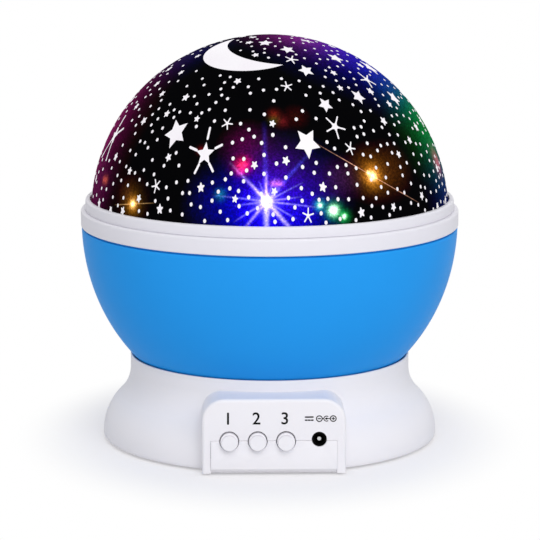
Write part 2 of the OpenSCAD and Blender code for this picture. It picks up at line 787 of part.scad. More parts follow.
module dome_shell(outer, inner) {
    rotate_extrude() intersection() {
        difference() {
            translate([0, dome_z]) circle(r = outer);
            translate([0, dome_z]) circle(r = inner);
        }
        translate([0, dome_edge_z]) square([80, 80]);
    }
}

module clear_dome() {
    color([0.85, 0.88, 0.95, 0.4]) dome_shell(dome_r - mask_t - 0.02, dome_r - mask_t - 0.02 - clear_t);
}

module star_outline(r, fat) {
    polygon([for (k = [0 : 9]) let (a = 36 * k, q = k % 2 == 0 ? r : r * fat)
        [-q * cos(a), q * sin(a)]]);
}

module star_shape(r, kind) {
    ray_w = max(0.6, r * 0.11);
    if (kind == STAR) star_outline(r, 0.5);
    if (kind == RAYED) {
        star_outline(r * 0.38, 0.45);
        for (k = [0 : 4]) rotate(180 + 72 * k) translate([r * 0.5, -ray_w / 2])
            square([r * 0.5, ray_w]);
    }
}

// Cuts a flat shape straight into the dome, around the place at this azimuth and height
module into_dome(place) {
    translate([0, 0, dome_z]) rotate([0, 90 - place[1], place[0] - 90])
        translate([0, 0, dome_r / 2]) linear_extrude(dome_r) children();
}

module star_mask() {
    color([0.05, 0.05, 0.09]) difference() {
        dome_shell(dome_r, dome_r - mask_t);
        for (s = mask_stars) into_dome(s) rotate(s[3]) star_shape(s[2], s[4]);
        difference() {
            into_dome(moon_patch) circle(r = moon_patch[2]);
            into_dome(moon_shade) circle(r = moon_shade[2]);
        }
    }
}

base_housing();
base_plate();
battery_door();
aaa_cells();
battery_springs();
battery_contacts();
rubber_feet();
base_screws();
control_board();
board_parts();
board_screws();
tact_switches();
switch_plunger(button_x[0]);  // switch_plunger_a
switch_plunger(button_x[1]);  // switch_plunger_b
switch_plunger(button_x[2]);  // switch_plunger_c
push_button(button_x[0]);  // button_a
push_button(button_x[1]);  // button_b
push_button(button_x[2]);  // button_c
power_socket();
socket_pin();
glide_ring();
tower_base();
tower_screws();
tower_cover();
gear_motor();
motor_screws();
motor_shaft();
pinion();
lamp_board();
lamp_screws();
lamp(45, "red");  // lamp_red
lamp(135, "green");  // lamp_green
lamp(225, "blue");  // lamp_blue
lamp(315, "gold");  // lamp_warm
battery_leads();
motor_leads();
lamp_leads();
bowl();
thrust_washer();
ring_gear();
gear_screws();
reflector_tray();
bowl_ring();
dome_ring();
clear_dome();
star_mask();
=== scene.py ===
import random
from math import asin, atan2, cos, degrees, hypot, pi, radians, sin, sqrt, tan, tau

import bmesh
import bpy
from mathutils import Matrix, Vector


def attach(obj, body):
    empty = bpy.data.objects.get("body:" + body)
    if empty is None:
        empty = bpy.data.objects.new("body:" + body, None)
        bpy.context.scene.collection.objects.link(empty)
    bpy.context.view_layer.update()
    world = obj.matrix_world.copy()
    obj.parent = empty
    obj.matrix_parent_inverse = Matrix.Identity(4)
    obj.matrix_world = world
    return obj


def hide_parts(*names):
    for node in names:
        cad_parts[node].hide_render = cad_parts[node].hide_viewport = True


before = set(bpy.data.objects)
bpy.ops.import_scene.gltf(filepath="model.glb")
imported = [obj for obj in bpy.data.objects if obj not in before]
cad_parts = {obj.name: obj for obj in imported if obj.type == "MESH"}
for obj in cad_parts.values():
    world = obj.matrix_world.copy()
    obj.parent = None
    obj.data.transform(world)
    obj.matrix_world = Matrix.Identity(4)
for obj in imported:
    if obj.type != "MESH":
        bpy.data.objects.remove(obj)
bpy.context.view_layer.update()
scene = bpy.context.scene
scene.view_settings.view_transform = "Standard"

MM = 0.001

# ---------- directions and objects ----------


def polar(r, a):
    return r * cos(a), r * sin(a)


def dome_way(azimuth, height):
    """Unit direction in degrees: round from the front to the right, and up."""
    a, h = radians(azimuth), radians(height)
    return Vector((sin(a) * cos(h), -cos(a) * cos(h), sin(h)))


def dome_turn(azimuth, height, turn):
    """How a window is turned: its own -x points up the dome, its z points out."""
    return (
        Matrix.Rotation(radians(azimuth - 90), 3, "Z")
        @ Matrix.Rotation(radians(90 - height), 3, "Y")
        @ Matrix.Rotation(radians(turn), 3, "Z")
    )


def put(name, data):
    """A new object in the scene."""
    thing = bpy.data.objects.new(name, data)
    scene.collection.objects.link(thing)
    return thing


# ---------- camera ----------

EYE_AWAY = 973.5  # mm from the point it looks at
EYE_TURN = -1.4  # degrees round from the front
EYE_RISE = 10.66
LENS = 186.2
FILM = 36.0
SIDE_SHIFT = 0.00067
AIM = Vector((0, 0, 58.3))
EYE = dome_way(EYE_TURN, EYE_RISE) * EYE_AWAY + AIM


def add_camera():
    camera = put("camera", bpy.data.cameras.new("camera"))
    camera.data.lens = LENS
    camera.data.sensor_width = FILM
    camera.data.shift_x = SIDE_SHIFT
    camera.data.clip_start = 0.01
    camera.location = EYE * MM
    camera.rotation_euler = (AIM - EYE).to_track_quat("-Z", "Y").to_euler()
    scene.camera = camera


add_camera()

# ---------- sizes, in mm, as the solids have them ----------

DOME_Z = 78.4
DOME_R = 62.0
SKIN_R = 61.9
SKIN_T = 1.7
DOME_EDGE_Z = 81.9
RING_R = 65.4
RING_TOP_Z = 80.6
BOWL_TOP_Z = 74.9
BOWL_R = 65.2
BOWL_MID_Z = 77.2
BOWL_DROP = 67.5
BOWL_POWER = 2.075
BOWL_WALL = 2.0
BOWL_FLOOR_Z = 19.3
EDGE_Z = 0.8
FOOT_R = 58.2
NECK_R = 48.6
FOOT_BULGE = 17.9
FOOT_BULGE_Z = 2.3
NECK_HOLLOW_Z = 25.0
LIP_Z = 29.8
DECK_Z = 16.2
CUP_R = 46.6
BASE_WALL = 2.0
PANEL_W = 47.8
PANEL_TOP_Z = 26.0
PANEL_Y = 59.0
SPLIT_Z = 11.9
TAB_HALF = 20.9
BUTTON_D = 6.0
BUTTON_OUT = 2.6
BUTTON_X = (-14.8, -5.4, 4.0)
SOCKET_X = 15.0
SOCKET_Z = 12.4
SOCKET_HOLE_R = 2.5
DECK_LOW_Z = 18.2  # the top of the deck, inside the cup
FLARE_IN = FOOT_R - NECK_R
FLARE_UP = NECK_HOLLOW_Z - FOOT_BULGE_Z
FLARE_REACH = (FLARE_IN**2 + FLARE_UP**2) / (2 * FLARE_IN)
NECK_HOLLOW = FLARE_REACH - FOOT_BULGE
FLARE_TURN = asin(FLARE_UP / FLARE_REACH)

# ---------- shader maths ----------


def add_node(tree, kind, settings=None, sockets=None):
    """Adds a node: its settings first, then its sockets' links, colours or values."""
    node = tree.nodes.new(kind)
    for name, value in (settings or {}).items():
        setattr(node, name, value)
    for key, value in (sockets or {}).items():
        socket = node.inputs[key]
        if isinstance(value, bpy.types.NodeSocket):
            tree.links.new(value, socket)
        else:
            socket.default_value = (*value, 1.0) if socket.type == "RGBA" else value
    return node


class Wire:
    """A value on its way through a material: arithmetic on it adds Math nodes."""

    def __init__(self, paint, socket):
        self.paint = paint
        self.socket = socket

    def __add__(self, other):
        return self.paint.maths("ADD", self, other)

    def __sub__(self, other):
        return self.paint.maths("SUBTRACT", self, other)

    def __rsub__(self, other):
        return self.paint.maths("SUBTRACT", other, self)

    def __mul__(self, other):
        return self.paint.maths("MULTIPLY", self, other)

    __radd__ = __add__
    __rmul__ = __mul__


class Paint:
    """A material that is being built."""

    def __init__(self, name):
        self.material = bpy.data.materials.new(name)
        self.material.use_nodes = True
        self.tree = self.material.node_tree
        self.tree.nodes.clear()
        self.spot = self.node("TexCoord", out="Object")

    def node(self, kind, sockets=None, out=0, **settings):
        bare = {
            key: value.socket if isinstance(value, Wire) else value
            for key, value in (sockets or {}).items()
        }
        node = add_node(self.tree, "ShaderNode" + kind, settings, bare)
        return Wire(self, node.outputs[out]) if node.outputs else node

    def maths(self, kind, *values, clamp=False):
        return self.node("Math", dict(enumerate(values)), operation=kind, use_clamp=clamp)

    def vector(self, kind, *values, out=0):
        return self.node("VectorMath", dict(enumerate(values)), out, operation=kind)

    def dot(self, way, towards):
        return self.vector("DOT_PRODUCT", way, tuple(towards), out="Value")

    def mix(self, share, a, b):
        return self.node("Mix", {0: share, 6: a, 7: b}, 2, data_type="RGBA")

    def blend(self, share, a, b):
        """A mix of two surfaces."""
        return self.node("MixShader", {0: share, 1: a, 2: b})

    def smooth(self, *values):
        """A smooth step of a value: from low to high, and the two results."""
        sockets = dict(enumerate(values))
        return self.node("MapRange", sockets, interpolation_type="SMOOTHSTEP")

    def scaled(self, vector, share):
        return self.node("VectorMath", {0: vector, "Scale": share}, operation="SCALE")

    def gathered(self, glows, light):
        """Adds up glows, each a gain and its tint, over a light."""
        for gain, tint in glows:
            spread = self.node("CombineXYZ", {0: gain, 1: gain, 2: gain})
            light = self.vector("MULTIPLY_ADD", spread, tint, light)
        return light

    def noise(self, scale, detail=2.0, rough=0.5):
        sockets = {"Vector": self.spot, "Scale": scale, "Detail": detail, "Roughness": rough}
        return self.node("TexNoise", sockets, "Fac")

    def bump(self, height, strength, depth):
        return self.node("Bump", {"Strength": strength, "Distance": depth, "Height": height})

    def finish(self, **sockets):
        """Ends in a Principled surface; names are sockets with _ for a space."""
        named = {name.replace("_", " "): value for name, value in sockets.items()}
        surface = self.node("BsdfPrincipled", named)
        self.node("OutputMaterial", {"Surface": surface})
        return self.material


def moulded(
    name, base, rough, shine=0.3, grain=900.0, grain_depth=0.00002, drift=0.03, **more
):
    """Moulded plastic: faint drift in its tint, an uneven gloss and a fine skin."""
    paint = Paint(name)
    patch = paint.noise(38.0, 3.0)
    fine = paint.noise(grain)
    darker = tuple(part * (1 - drift) for part in base)
    tint = paint.mix(patch, darker, base)
    gloss = rough - 0.04 + 0.08 * paint.noise(160.0)
    skin = paint.bump(fine, 0.25, grain_depth)
    return paint.finish(
        Base_Color=tint, Roughness=gloss, Specular_IOR_Level=shine, Normal=skin, **more
    )


def metal(name, base, rough, streak=(1.0, 1.0, 1.0)):
    """Plated or drawn metal, with fine streaks across one direction."""
    paint = Paint(name)
    stretched = paint.node("Mapping", {"Vector": paint.spot, "Scale": streak})
    sockets = {"Vector": stretched, "Scale": 900.0, "Detail": 3.0}
    lines = paint.node("TexNoise", sockets, "Fac")
    dull = tuple(part * 0.82 for part in base)
    return paint.finish(
        Base_Color=paint.mix(lines, dull, base),
        Roughness=rough - 0.08 + 0.16 * lines,
        Metallic=1.0,
        Normal=paint.bump(lines, 0.15, 0.00002),
    )


# ---------- finishes ----------

WHITE_LAMP = (-2.4, 13)
AMBER_LAMP = (34.0, 19.2)
LEFT_LAMP = (-49.5, 9.2)
GREEN_LAMP = (18.6, 9.7)

# Round glows on the dome: azimuth, height, spread in degrees, tint at the middle
SOFT_GLOWS = [
    # magenta at the left, dark blue over it, purple on top
    (-98, 28, 13.5, (0.19, 0.012, 0.09)),
    (-78, 11, 8, (0.05, 0.006, 0.03)),
    (-84, 63, 8, (0.005, 0.006, 0.042)),
    (80, 80, 8, (0.15, 0.014, 0.12)),
    (40, 70, 9, (0.004, 0.003, 0.02)),
    # blue down the right shoulder, green under it, blue at the right foot
    (84, 61, 10.5, (0.012, 0.008, 0.38)),
    (70, 50, 7, (0.001, 0.003, 0.05)),
    (80, 31, 9.5, (0.004, 0.16, 0.016)),
    (80, 11, 9, (0.006, 0.006, 0.09)),
    # blue and violet around the brightest lamp
    (-3, 11, 6.8, (0.01, 0.004, 1.0)),
    (-19, 12, 4.5, (0.001, 0.001, 0.1)),
    (10, 9, 4.5, (0.001, 0.002, 0.3)),
    (9, 16, 6.5, (0.012, 0.002, 0.11)),
    (22, 19, 3.5, (0.03, 0.008, 0.03)),
    (0, 22, 6, (0.03, 0.002, 0.06)),
    (-10, 30, 4, (0.06, 0.002, 0.03)),
    # brown around the amber lamps, and fainter patches
    (34, 20.2, 3.8, (0.14, 0.044, 0.005)),
    (43, 20.5, 4.5, (0.045, 0.014, 0.004)),
    (-50, 9, 3.2, (0.06, 0.024, 0.003)),
    (-49, 12, 5, (0.006, 0.004, 0.001)),
    (-53, 12, 2.5, (0.03, 0.008, 0.003)),
    (9, 40.2, 2.4, (0.026, 0.005, 0.002)),
]
# The lamps themselves, and small reflections of them
SHARP_GLOWS = [
    (76, 18.9, 2.4, (0.4, 0.06, 0.1)),
    (-68.4, 14.2, 0.85, (0.3, 0.05, 0.022)),
    (-70.6, 14.1, 0.85, (0.3, 0.05, 0.022)),
    (0.4, 41.1, 1.1, (0.12, 0.006, 0.003)),
    (3.4, 38.4, 1.2, (0.09, 0.004, 0.006)),
    (0.3, 39.1, 1.0, (0.03, 0.035, 0.003)),
    (-25.9, 28.2, 0.75, (0.12, 0.002, 0.004)),
    (0.8, 18.4, 0.7, (0.45, 0.11, 0.3)),
    (-0.6, 18.4, 0.6, (0.36, 0.08, 0.25)),
    (2.2, 18.4, 0.6, (0.36, 0.07, 0.22)),
    (-10.3, 24, 1.5, (0.9, 0.002, 0.045)),
    (-10.3, 24, 0.8, (0.5, 0.04, 0.1)),
    (-10.9, 22, 0.7, (0.5, 0.02, 0.25)),
    (*WHITE_LAMP, 0.8, (3.5, 3.5, 4.5)),
    (*WHITE_LAMP, 1.9, (0.3, 0.24, 1.0)),
    (*GREEN_LAMP, 0.8, (2.4, 3.4, 2.6)),
    (*GREEN_LAMP, 1.45, (0.004, 0.6, 0.1)),
    (14.3, 11.5, 0.4, (1.6, 2.6, 1.9)),
    (14.3, 11.5, 1.0, (0.004, 0.4, 0.08)),
    (22, 7.7, 0.4, (1.6, 2.6, 1.9)),
    (22, 7.7, 1.1, (0.004, 0.4, 0.06)),
    (-17, 14.7, 1.0, (0.005, 0.15, 0.15)),
    (*AMBER_LAMP, 0.8, (2.6, 2.0, 0.9)),
    (*AMBER_LAMP, 1.9, (0.9, 0.33, 0.022)),
    (32.6, 20.3, 0.4, (2.2, 1.8, 0.8)),
    (*LEFT_LAMP, 0.7, (2.4, 1.7, 0.6)),
    (*LEFT_LAMP, 1.5, (0.52, 0.19, 0.012)),
]
# Rays from the brightest lamp: bearing clockwise from up, reach, width, tint
RAYS = [
    (358, 25, 0.8, (0.04, 0.03, 0.55)),
    (359, 10, 0.45, (1.2, 0.75, 1.2)),
    (180, 12, 0.75, (1.1, 0.95, 1.5)),
    (317, 17, 0.5, (0.42, 0.28, 0.95)),
    (319, 8, 0.4, (1.1, 0.9, 1.6)),
    (138, 15, 0.6, (1.0, 0.8, 1.4)),
    (219, 13, 0.45, (0.7, 0.5, 1.1)),
    (41, 22, 0.6, (0.05, 0.06, 0.75)),
    (46, 6, 0.45, (0.9, 0.7, 1.4)),
    (96, 18, 0.28, (0.4, 0.32, 1.0)),
    (277, 17, 0.28, (0.26, 0.22, 0.9)),
    (262, 10, 0.3, (0.32, 0.26, 0.9)),
    (238, 12, 0.3, (0.4, 0.32, 0.95)),
    (120, 11, 0.3, (0.4, 0.34, 0.95)),
    (82, 11, 0.28, (0.5, 0.36, 0.95)),
    (62, 13, 0.28, (0.32, 0.26, 0.9)),
    (20, 8, 0.3, (0.34, 0.26, 0.9)),
    (340, 7, 0.3, (0.34, 0.26, 0.9)),
]
# Thin lines of light: a lamp, a place the line runs to, reach, width, tint
LINES = [
    (AMBER_LAMP, (19.5, 28.1), 22, 0.09, (0.8, 0.4, 0.26)),
    (LEFT_LAMP, (-42.6, 10.2), 10, 0.13, (0.45, 0.26, 0.1)),
]


def glow(paint, way, azimuth, height, spread, tint):
    """A round glow on the dome, as a colour: spread in degrees, tint at its middle."""
    near = paint.dot(way, dome_way(azimuth, height))
    gain = paint.maths("EXPONENT", (near - 1.0) * (1 / radians(spread) ** 2))
    return gain, tint


def ray(paint, way, front, bearing, reach, width, tint):
    """A ray from the brightest lamp, at a bearing clockwise from up; front is its side."""
    turned = dome_turn(*WHITE_LAMP, 0)
    b = radians(bearing)
    along = turned @ Vector((-cos(b), sin(b), 0))
    across = turned @ Vector((sin(b), cos(b), 0))
    aside = paint.dot(way, across) * (1 / radians(width))
    ahead = paint.dot(way, along)
    fade = paint.maths("MULTIPLY_ADD", ahead, -1 / radians(reach), 1.0, clamp=True)
    fade = fade * paint.maths("GREATER_THAN", ahead, 0.0) * front
    thin = paint.maths("EXPONENT", aside * aside * (0.6 * fade - 1.6))
    return thin * fade, tint


def thin_line(paint, way, lamp, towards, reach, width, tint):
    """A thin line of light through a lamp, straight as seen from the front."""
    eye = (EYE - Vector((0, 0, DOME_Z))) / DOME_R
    middle, other = dome_way(*lamp), dome_way(*towards)
    across = (middle - eye).cross(other - eye).normalized()
    aside = (paint.dot(way, across) - across.dot(middle)) * (1 / radians(width))
    near = paint.dot(way, middle)
    far = cos(radians(reach))
    fade = paint.maths("MULTIPLY", near - far, 1 / (1 - far), clamp=True)
    thin = paint.maths("EXPONENT", aside * aside * -1.0)
    return thin * fade, tint


def night_skin():
    """The black printed skin, through which the coloured lamps glow."""
    paint = Paint("night_skin")
    centred = paint.vector("SUBTRACT", paint.spot, (0, 0, DOME_Z * MM))
    way = paint.vector("NORMALIZE", centred)
    front = paint.maths("GREATER_THAN", paint.dot(way, dome_way(*WHITE_LAMP)), 0.0)
    haze = 0.55 + 0.9 * paint.noise(55.0, 3.0, 0.6)
    soft = [glow(paint, way, *row) for row in SOFT_GLOWS]
    sharp = [glow(paint, way, *row) for row in SHARP_GLOWS]
    sharp += [ray(paint, way, front, *row) for row in RAYS]
    sharp += [thin_line(paint, way, *row) for row in LINES]
    light = paint.scaled(paint.gathered(soft, (0.0, 0.0, 0.0)), haze)
    light = paint.vector("SUBTRACT", light, (0.003, 0.003, 0.003))
    light = paint.vector("MAXIMUM", light, (0.0003, 0.0003, 0.0004))
    light = paint.gathered(sharp, light)
    specks = paint.smooth(paint.noise(1300.0, 2.0, 0.7), 0.35, 0.75, 0.7, 1.9)
    light = paint.scaled(light, specks)
    fine = paint.noise(700.0)
    return paint.finish(
        Base_Color=(0.001, 0.001, 0.0013),
        Roughness=0.16 + 0.05 * fine,
        Specular_IOR_Level=0.0,
        Coat_Weight=0.008,
        Coat_Roughness=0.06,
        Emission_Color=light,
        Emission_Strength=1.0,
        Normal=paint.bump(fine, 0.1, 0.00001),
    )


def window_white():
    """Clear windows in the skin, bright with the lamps behind them."""
    paint = Paint("window_white")
    drift = paint.noise(60.0)
    lit = paint.mix(drift, (0.86, 0.80, 0.88), (0.95, 0.95, 0.96))
    return paint.finish(
        Base_Color=paint.scaled(lit, 0.45),
        Roughness=0.3 + 0.05 * drift,
        Specular_IOR_Level=0.2,
        Emission_Color=lit,
        Emission_Strength=0.54,
    )


def printed_ink(name, base):
    paint = Paint(name)
    speckle = paint.noise(1500.0)
    paler = tuple(part + 0.004 for part in base)
    return paint.finish(
        Base_Color=paint.mix(speckle, base, paler),
        Roughness=0.4 + 0.2 * speckle,
        Specular_IOR_Level=0.03,
    )


def cell_wrap():
    """A dark jacket with a bare metal band at each end."""
    paint = Paint("cell_wrap")
    parts = paint.node("SeparateXYZ", {0: paint.spot}, "Y")
    away = paint.maths("ABSOLUTE", parts - 9.0 * MM)
    band = paint.maths("GREATER_THAN", away, 17.0 * MM)
    sheen = paint.noise(420.0)
    return paint.finish(
        Base_Color=paint.mix(band, (0.03, 0.035, 0.045), (0.62, 0.42, 0.16)),
        Metallic=band,
        Roughness=0.28 + 0.12 * sheen,
    )


def solder_mask(name, base, track):
    """A circuit board: tracks show faintly through its lacquer."""
    paint = Paint(name)
    sockets = {"Vector": paint.spot, "Scale": 420.0}
    shape = {"distance": "MANHATTAN", "feature": "F1"}
    cells = paint.node("TexVoronoi", sockets, "Distance", **shape)
    ramp = add_node(paint.tree, "ShaderNodeValToRGB", None, {0: cells.socket})
    for stop, place in zip(ramp.color_ramp.elements, (0.42, 0.5)):
        stop.position = place
    tracks = Wire(paint, ramp.outputs[0])
    return paint.finish(
        Base_Color=paint.mix(tracks, base, track),
        Roughness=0.3 + 0.1 * paint.noise(600.0),
        Normal=paint.bump(cells, 0.1, 0.00003),
    )


def lens(name, base):
    paint = Paint(name)
    drift = paint.noise(500.0)
    paler = tuple(min(1.0, part + 0.15) for part in base)
    tint = paint.mix(drift, base, paler)
    return paint.finish(
        Base_Color=tint,
        Roughness=0.12 + 0.06 * drift,
        Emission_Color=tint,
        Emission_Strength=0.4,
        Coat_Weight=0.4,
    )


FINISHES = {
    "white_plastic": moulded("white_shell", (0.805, 0.79, 0.825), 0.36, shine=0.2),
    "blue_plastic": moulded("blue_shell", (0.018, 0.305, 0.81), 0.38, 0.03, drift=0.05),
    # painted shade: the collar's white is a darker copy of the shell's white plastic, which
    # tones down the stronger light that falls on the rings
    "shaded_collar_white": moulded("shaded_collar_white", (0.74, 0.73, 0.79), 0.36, shine=0.2),
    "clear_plastic": moulded("clear_shell", (0.8, 0.82, 0.86), 0.12),
    "night_ink": night_skin(),
    "window": window_white(),
    "mark": printed_ink("dark_print", (0.003, 0.003, 0.0035)),
    "rubber": moulded("grey_rubber", (0.07, 0.07, 0.075), 0.75, 0.3, 1600.0, 0.00006),
    "screw_steel": metal("screw_steel", (0.62, 0.62, 0.64), 0.32),
    "spring_steel": metal("spring_wire", (0.7, 0.7, 0.72), 0.28),
    "contact_metal": metal("contact_plate", (0.8, 0.79, 0.76), 0.22, streak=(1, 12, 1)),
    "cell_jacket": cell_wrap(),
    "circuit_board": solder_mask("green_board", (0.012, 0.16, 0.06), (0.02, 0.25, 0.09)),
    "lamp_board_white": solder_mask("white_board", (0.78, 0.78, 0.77), (0.7, 0.7, 0.68)),
    "black_plastic": moulded("black_nylon", (0.016, 0.016, 0.018), 0.45),
    "socket_black": moulded("socket_nylon", (0.002, 0.002, 0.002), 0.5, shine=0.03),
    "plunger_plastic": moulded("brown_plunger", (0.25, 0.12, 0.05), 0.4),
    "gear_plastic": moulded("gear_acetal", (0.84, 0.82, 0.74), 0.42),
    "motor_can": metal("motor_can", (0.66, 0.66, 0.68), 0.3, streak=(1, 1, 20)),
    "lens_red": lens("lens_red", (0.75, 0.04, 0.03)),
    "lens_green": lens("lens_green", (0.04, 0.65, 0.1)),
    "lens_blue": lens("lens_blue", (0.04, 0.1, 0.8)),
    "lens_warm": lens("lens_warm", (0.9, 0.62, 0.22)),
    "lead_cover": moulded("lead_cover", (0.35, 0.05, 0.04), 0.5),
}

# ---------- shaping ----------


def add_piece(name, mesh, body, slot, stands_for=(), finish=None, sharp=35.0):
    """Puts a finished mesh in the scene under its body, with its finish, and hides the solids
    it stands for.
    """
    mesh.name = name
    mesh.shade_smooth()
    mesh.set_sharp_from_angle(angle=radians(sharp))
    mesh.materials.clear()
    mesh.materials.append(FINISHES[finish or slot])
    piece = put(name, mesh)
    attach(piece, body)
    if stands_for:
        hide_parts(*stands_for)
    return piece


def raw_mesh(name, points, faces=()):
    mesh = bpy.data.meshes.new(name)
    mesh.from_pydata(points, [], faces)
    return mesh


def mesh_of(points, faces):
    """A closed mesh from points in mm."""
    return outward(raw_mesh("shape", [Vector(p) * MM for p in points], faces))


def reworked(mesh, change):
    """A mesh after a change that bmesh makes."""
    work = bmesh.new()
    work.from_mesh(mesh)
    change(work)
    work.to_mesh(mesh)
    work.free()
    return mesh


def outward(mesh, weld=1e-7):
    def change(work):
        bmesh.ops.remove_doubles(work, verts=work.verts, dist=weld)
        bmesh.ops.recalc_face_normals(work, faces=work.faces)

    return reworked(mesh, change)


def rounded(corners, steps=6):
    """A closed outline of (r, z, radius) corners, each rounded to its radius."""
    outline = []
    count = len(corners)
    for i, corner in enumerate(corners):
        here = Vector(corner[:2])
        radius = corner[2] if len(corner) > 2 else 0
        if not radius:
            outline.append(here)
            continue
        back = Vector(corners[i - 1][:2]) - here
        ahead = Vector(corners[(i + 1) % count][:2]) - here
        half = back.angle(ahead) / 2
        cut = min(radius / tan(half), 0.49 * back.length, 0.49 * ahead.length)
        radius = cut * tan(half)
        back.normalize()
        ahead.normalize()
        centre = here + (back + ahead).normalized() * (radius / sin(half))
        first = here + back * cut - centre
        last = here + ahead * cut - centre
        sweep = first.angle_signed(last)
        for k in range(steps + 1):
            arm = first.copy()
            arm.rotate(Matrix.Rotation(-sweep * k / steps, 2))
            outline.append(centre + arm)
    return outline


def lathe(outline, sides=192):
    """Turns an outline of (r, z) round the upright axis into a closed mesh."""
    points, rings = [], []
    for r, z in outline:
        if r < 1e-6:
            rings.append([len(points)] * sides)
            points.append((0, 0, z))
            continue
        rings.append(list(range(len(points), len(points) + sides)))
        for k in range(sides):
            a = tau * k / sides
            points.append((*polar(r, a), z))
    closed = outline[0][0] > 1e-6
    faces = []
    for i in range(len(rings) if closed else len(rings) - 1):
        low, high = rings[i], rings[(i + 1) % len(rings)]
        for k in range(sides):
            n = (k + 1) % sides
            face = [low[k], low[n], high[n], high[k]]
            face = [v for j, v in enumerate(face) if v != face[j - 1]]
            if len(face) > 2:
                faces.append(face)
    return mesh_of(points, faces)


def prism(outline, low, high):
    """A closed block over an outline of (x, y), between two heights."""
    count = len(outline)
    points = [(x, y, z) for z in (low, high) for x, y in outline]
    faces = [list(range(count)), list(range(2 * count - 1, count - 1, -1))]
    faces += [[k, (k + 1) % count, (k + 1) % count + count, k + count] for k in range(count)]
    return mesh_of(points, faces)


def disc_outline(radius, sides=64):
    return [polar(radius, tau * k / sides) for k in range(sides)]


def box_outline(x0, x1, y0, y1):
    return [(x0, y0), (x1, y0), (x1, y1), (x0, y1)]


def facing_front(mesh, x, y, z):
    """Turns a mesh whose z axis points up so that it points to the front."""
    mesh.transform(
        Matrix.Translation(Vector((x, y, z)) * MM)
        @ Matrix.Rotation(radians(90), 4, "X")
    )
    return mesh


def settled(piece, *tools):
    """The mesh that an object's modifiers make of it; then the objects are removed."""
    evaluated = piece.evaluated_get(bpy.context.evaluated_depsgraph_get())
    mesh = bpy.data.meshes.new_from_object(evaluated)
    for spare in (piece, *tools):
        bpy.data.objects.remove(spare)
    return mesh


def combine(kind, mesh, *others):
    """A mesh joined with, or cut by, others."""
    body = put("work", mesh)
    tools = [put("tool", other) for other in others]
    for tool in tools:
        step = body.modifiers.new(kind.lower(), "BOOLEAN")
        step.operation = kind
        step.solver = "EXACT"
        step.object = tool
    return settled(body, *tools)


def join(meshes):
    """Several closed meshes as one."""
    work = bmesh.new()
    for mesh in meshes:
        work.from_mesh(mesh)
    whole = bpy.data.meshes.new("joined")
    work.to_mesh(whole)
    work.free()
    return whole


def eased(node, width):
    """A copy of a node's mesh, merged and with its edges eased."""

    def change(work):
        bmesh.ops.remove_doubles(work, verts=work.verts, dist=2e-6)
        bmesh.ops.dissolve_limit(
            work, angle_limit=radians(1.0), verts=work.verts, edges=work.edges
        )

    piece = put("work", reworked(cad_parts[node].data.copy(), change))
    ease = piece.modifiers.new("ease", "BEVEL")
    ease.width = width * MM
    ease.segments = 2
    ease.limit_method = "ANGLE"
    ease.angle_limit = radians(40)
    return settled(piece)


# ---------- bowl and rings ----------


def bowl_curve(radius, drop, low, high, count):
    heights = [low + (high - low) * k / count for k in range(count + 1)]
    return [
        (radius * (1 - ((BOWL_MID_Z - z) / drop) ** BOWL_POWER) ** (1 / BOWL_POWER), z)
        for z in heights
    ]


def bowl_mesh():
    """The bowl, whose top edge steps in to leave a shadow line under its ring."""
    outer = bowl_curve(BOWL_R, BOWL_DROP, BOWL_FLOOR_Z, BOWL_TOP_Z - 1.0, 64)
    step = [(65.0, BOWL_TOP_Z - 0.72), (64.7, BOWL_TOP_Z - 0.6), (64.3, BOWL_TOP_Z - 0.58)]
    step += [(64.15, BOWL_TOP_Z - 0.5), (64.15, BOWL_TOP_Z)]
    inner = bowl_curve(
        BOWL_R - BOWL_WALL, BOWL_DROP - BOWL_WALL, BOWL_FLOOR_Z + 2.8, BOWL_TOP_Z, 32
    )
    hub = [(33.4, 21.3), (12.4, 21.3), (12.4, 26.6), (10.15, 26.6), (10.15, BOWL_FLOOR_Z)]
    return lathe(outer + step + inner[::-1] + hub)


def ring_sector(inner, outer, z0, z1, middle, half, steps=12):
    """A block along part of a ring, at an angle round the upright axis."""
    angles = [radians(middle - half + 2 * half * k / steps) for k in range(steps + 1)]
    outline = [polar(outer, a) for a in angles] + [polar(inner, a) for a in angles[::-1]]
    return prism(outline, z0, z1)


def bowl_ring_mesh():
    """The ring on the bowl, with a lip that the dome's three lugs pass through."""
    lip_low = RING_TOP_Z - 2.5
    outline = [(62.7, 75.1), (61.3, 75.1), (61.3, 71.5), (63.0, 71.5), (63.0, BOWL_TOP_Z)]
    outline += [(RING_R, BOWL_TOP_Z, 0.45), (RING_R, RING_TOP_Z, 0.8)]
    outline += [(61.2, RING_TOP_Z, 0.3), (61.2, lip_low), (62.7, lip_low)]
    notches = [
        ring_sector(60, 62.5, lip_low - 1, RING_TOP_Z + 1, 90 + 120 * k, 13)
        for k in range(3)
    ]
    return combine("DIFFERENCE", lathe(rounded(outline, 8)), *notches)


def dome_ring_mesh():
    """The ring that holds the dome: a skirt with three lugs and a thin bright lip."""
    seat = RING_TOP_Z + 0.05
    outline = [(58.6, 75.8, 0.2), (60.9, 75.8, 0.2), (60.9, seat, 0.15)]
    outline += [(63.85, seat, 0.12), (63.75, 84.4, 0.85), (62.15, 84.4, 0.25)]
    outline += [(62.15, 81.8), (59.8, 81.8), (59.8, 83.4), (58.6, 83.4)]
    lugs = [ring_sector(60.6, 62.3, 75.9, 77.7, 62 + 120 * k, 12) for k in range(3)]
    return join([lathe(rounded(outline)), *lugs])


# ---------- base ----------


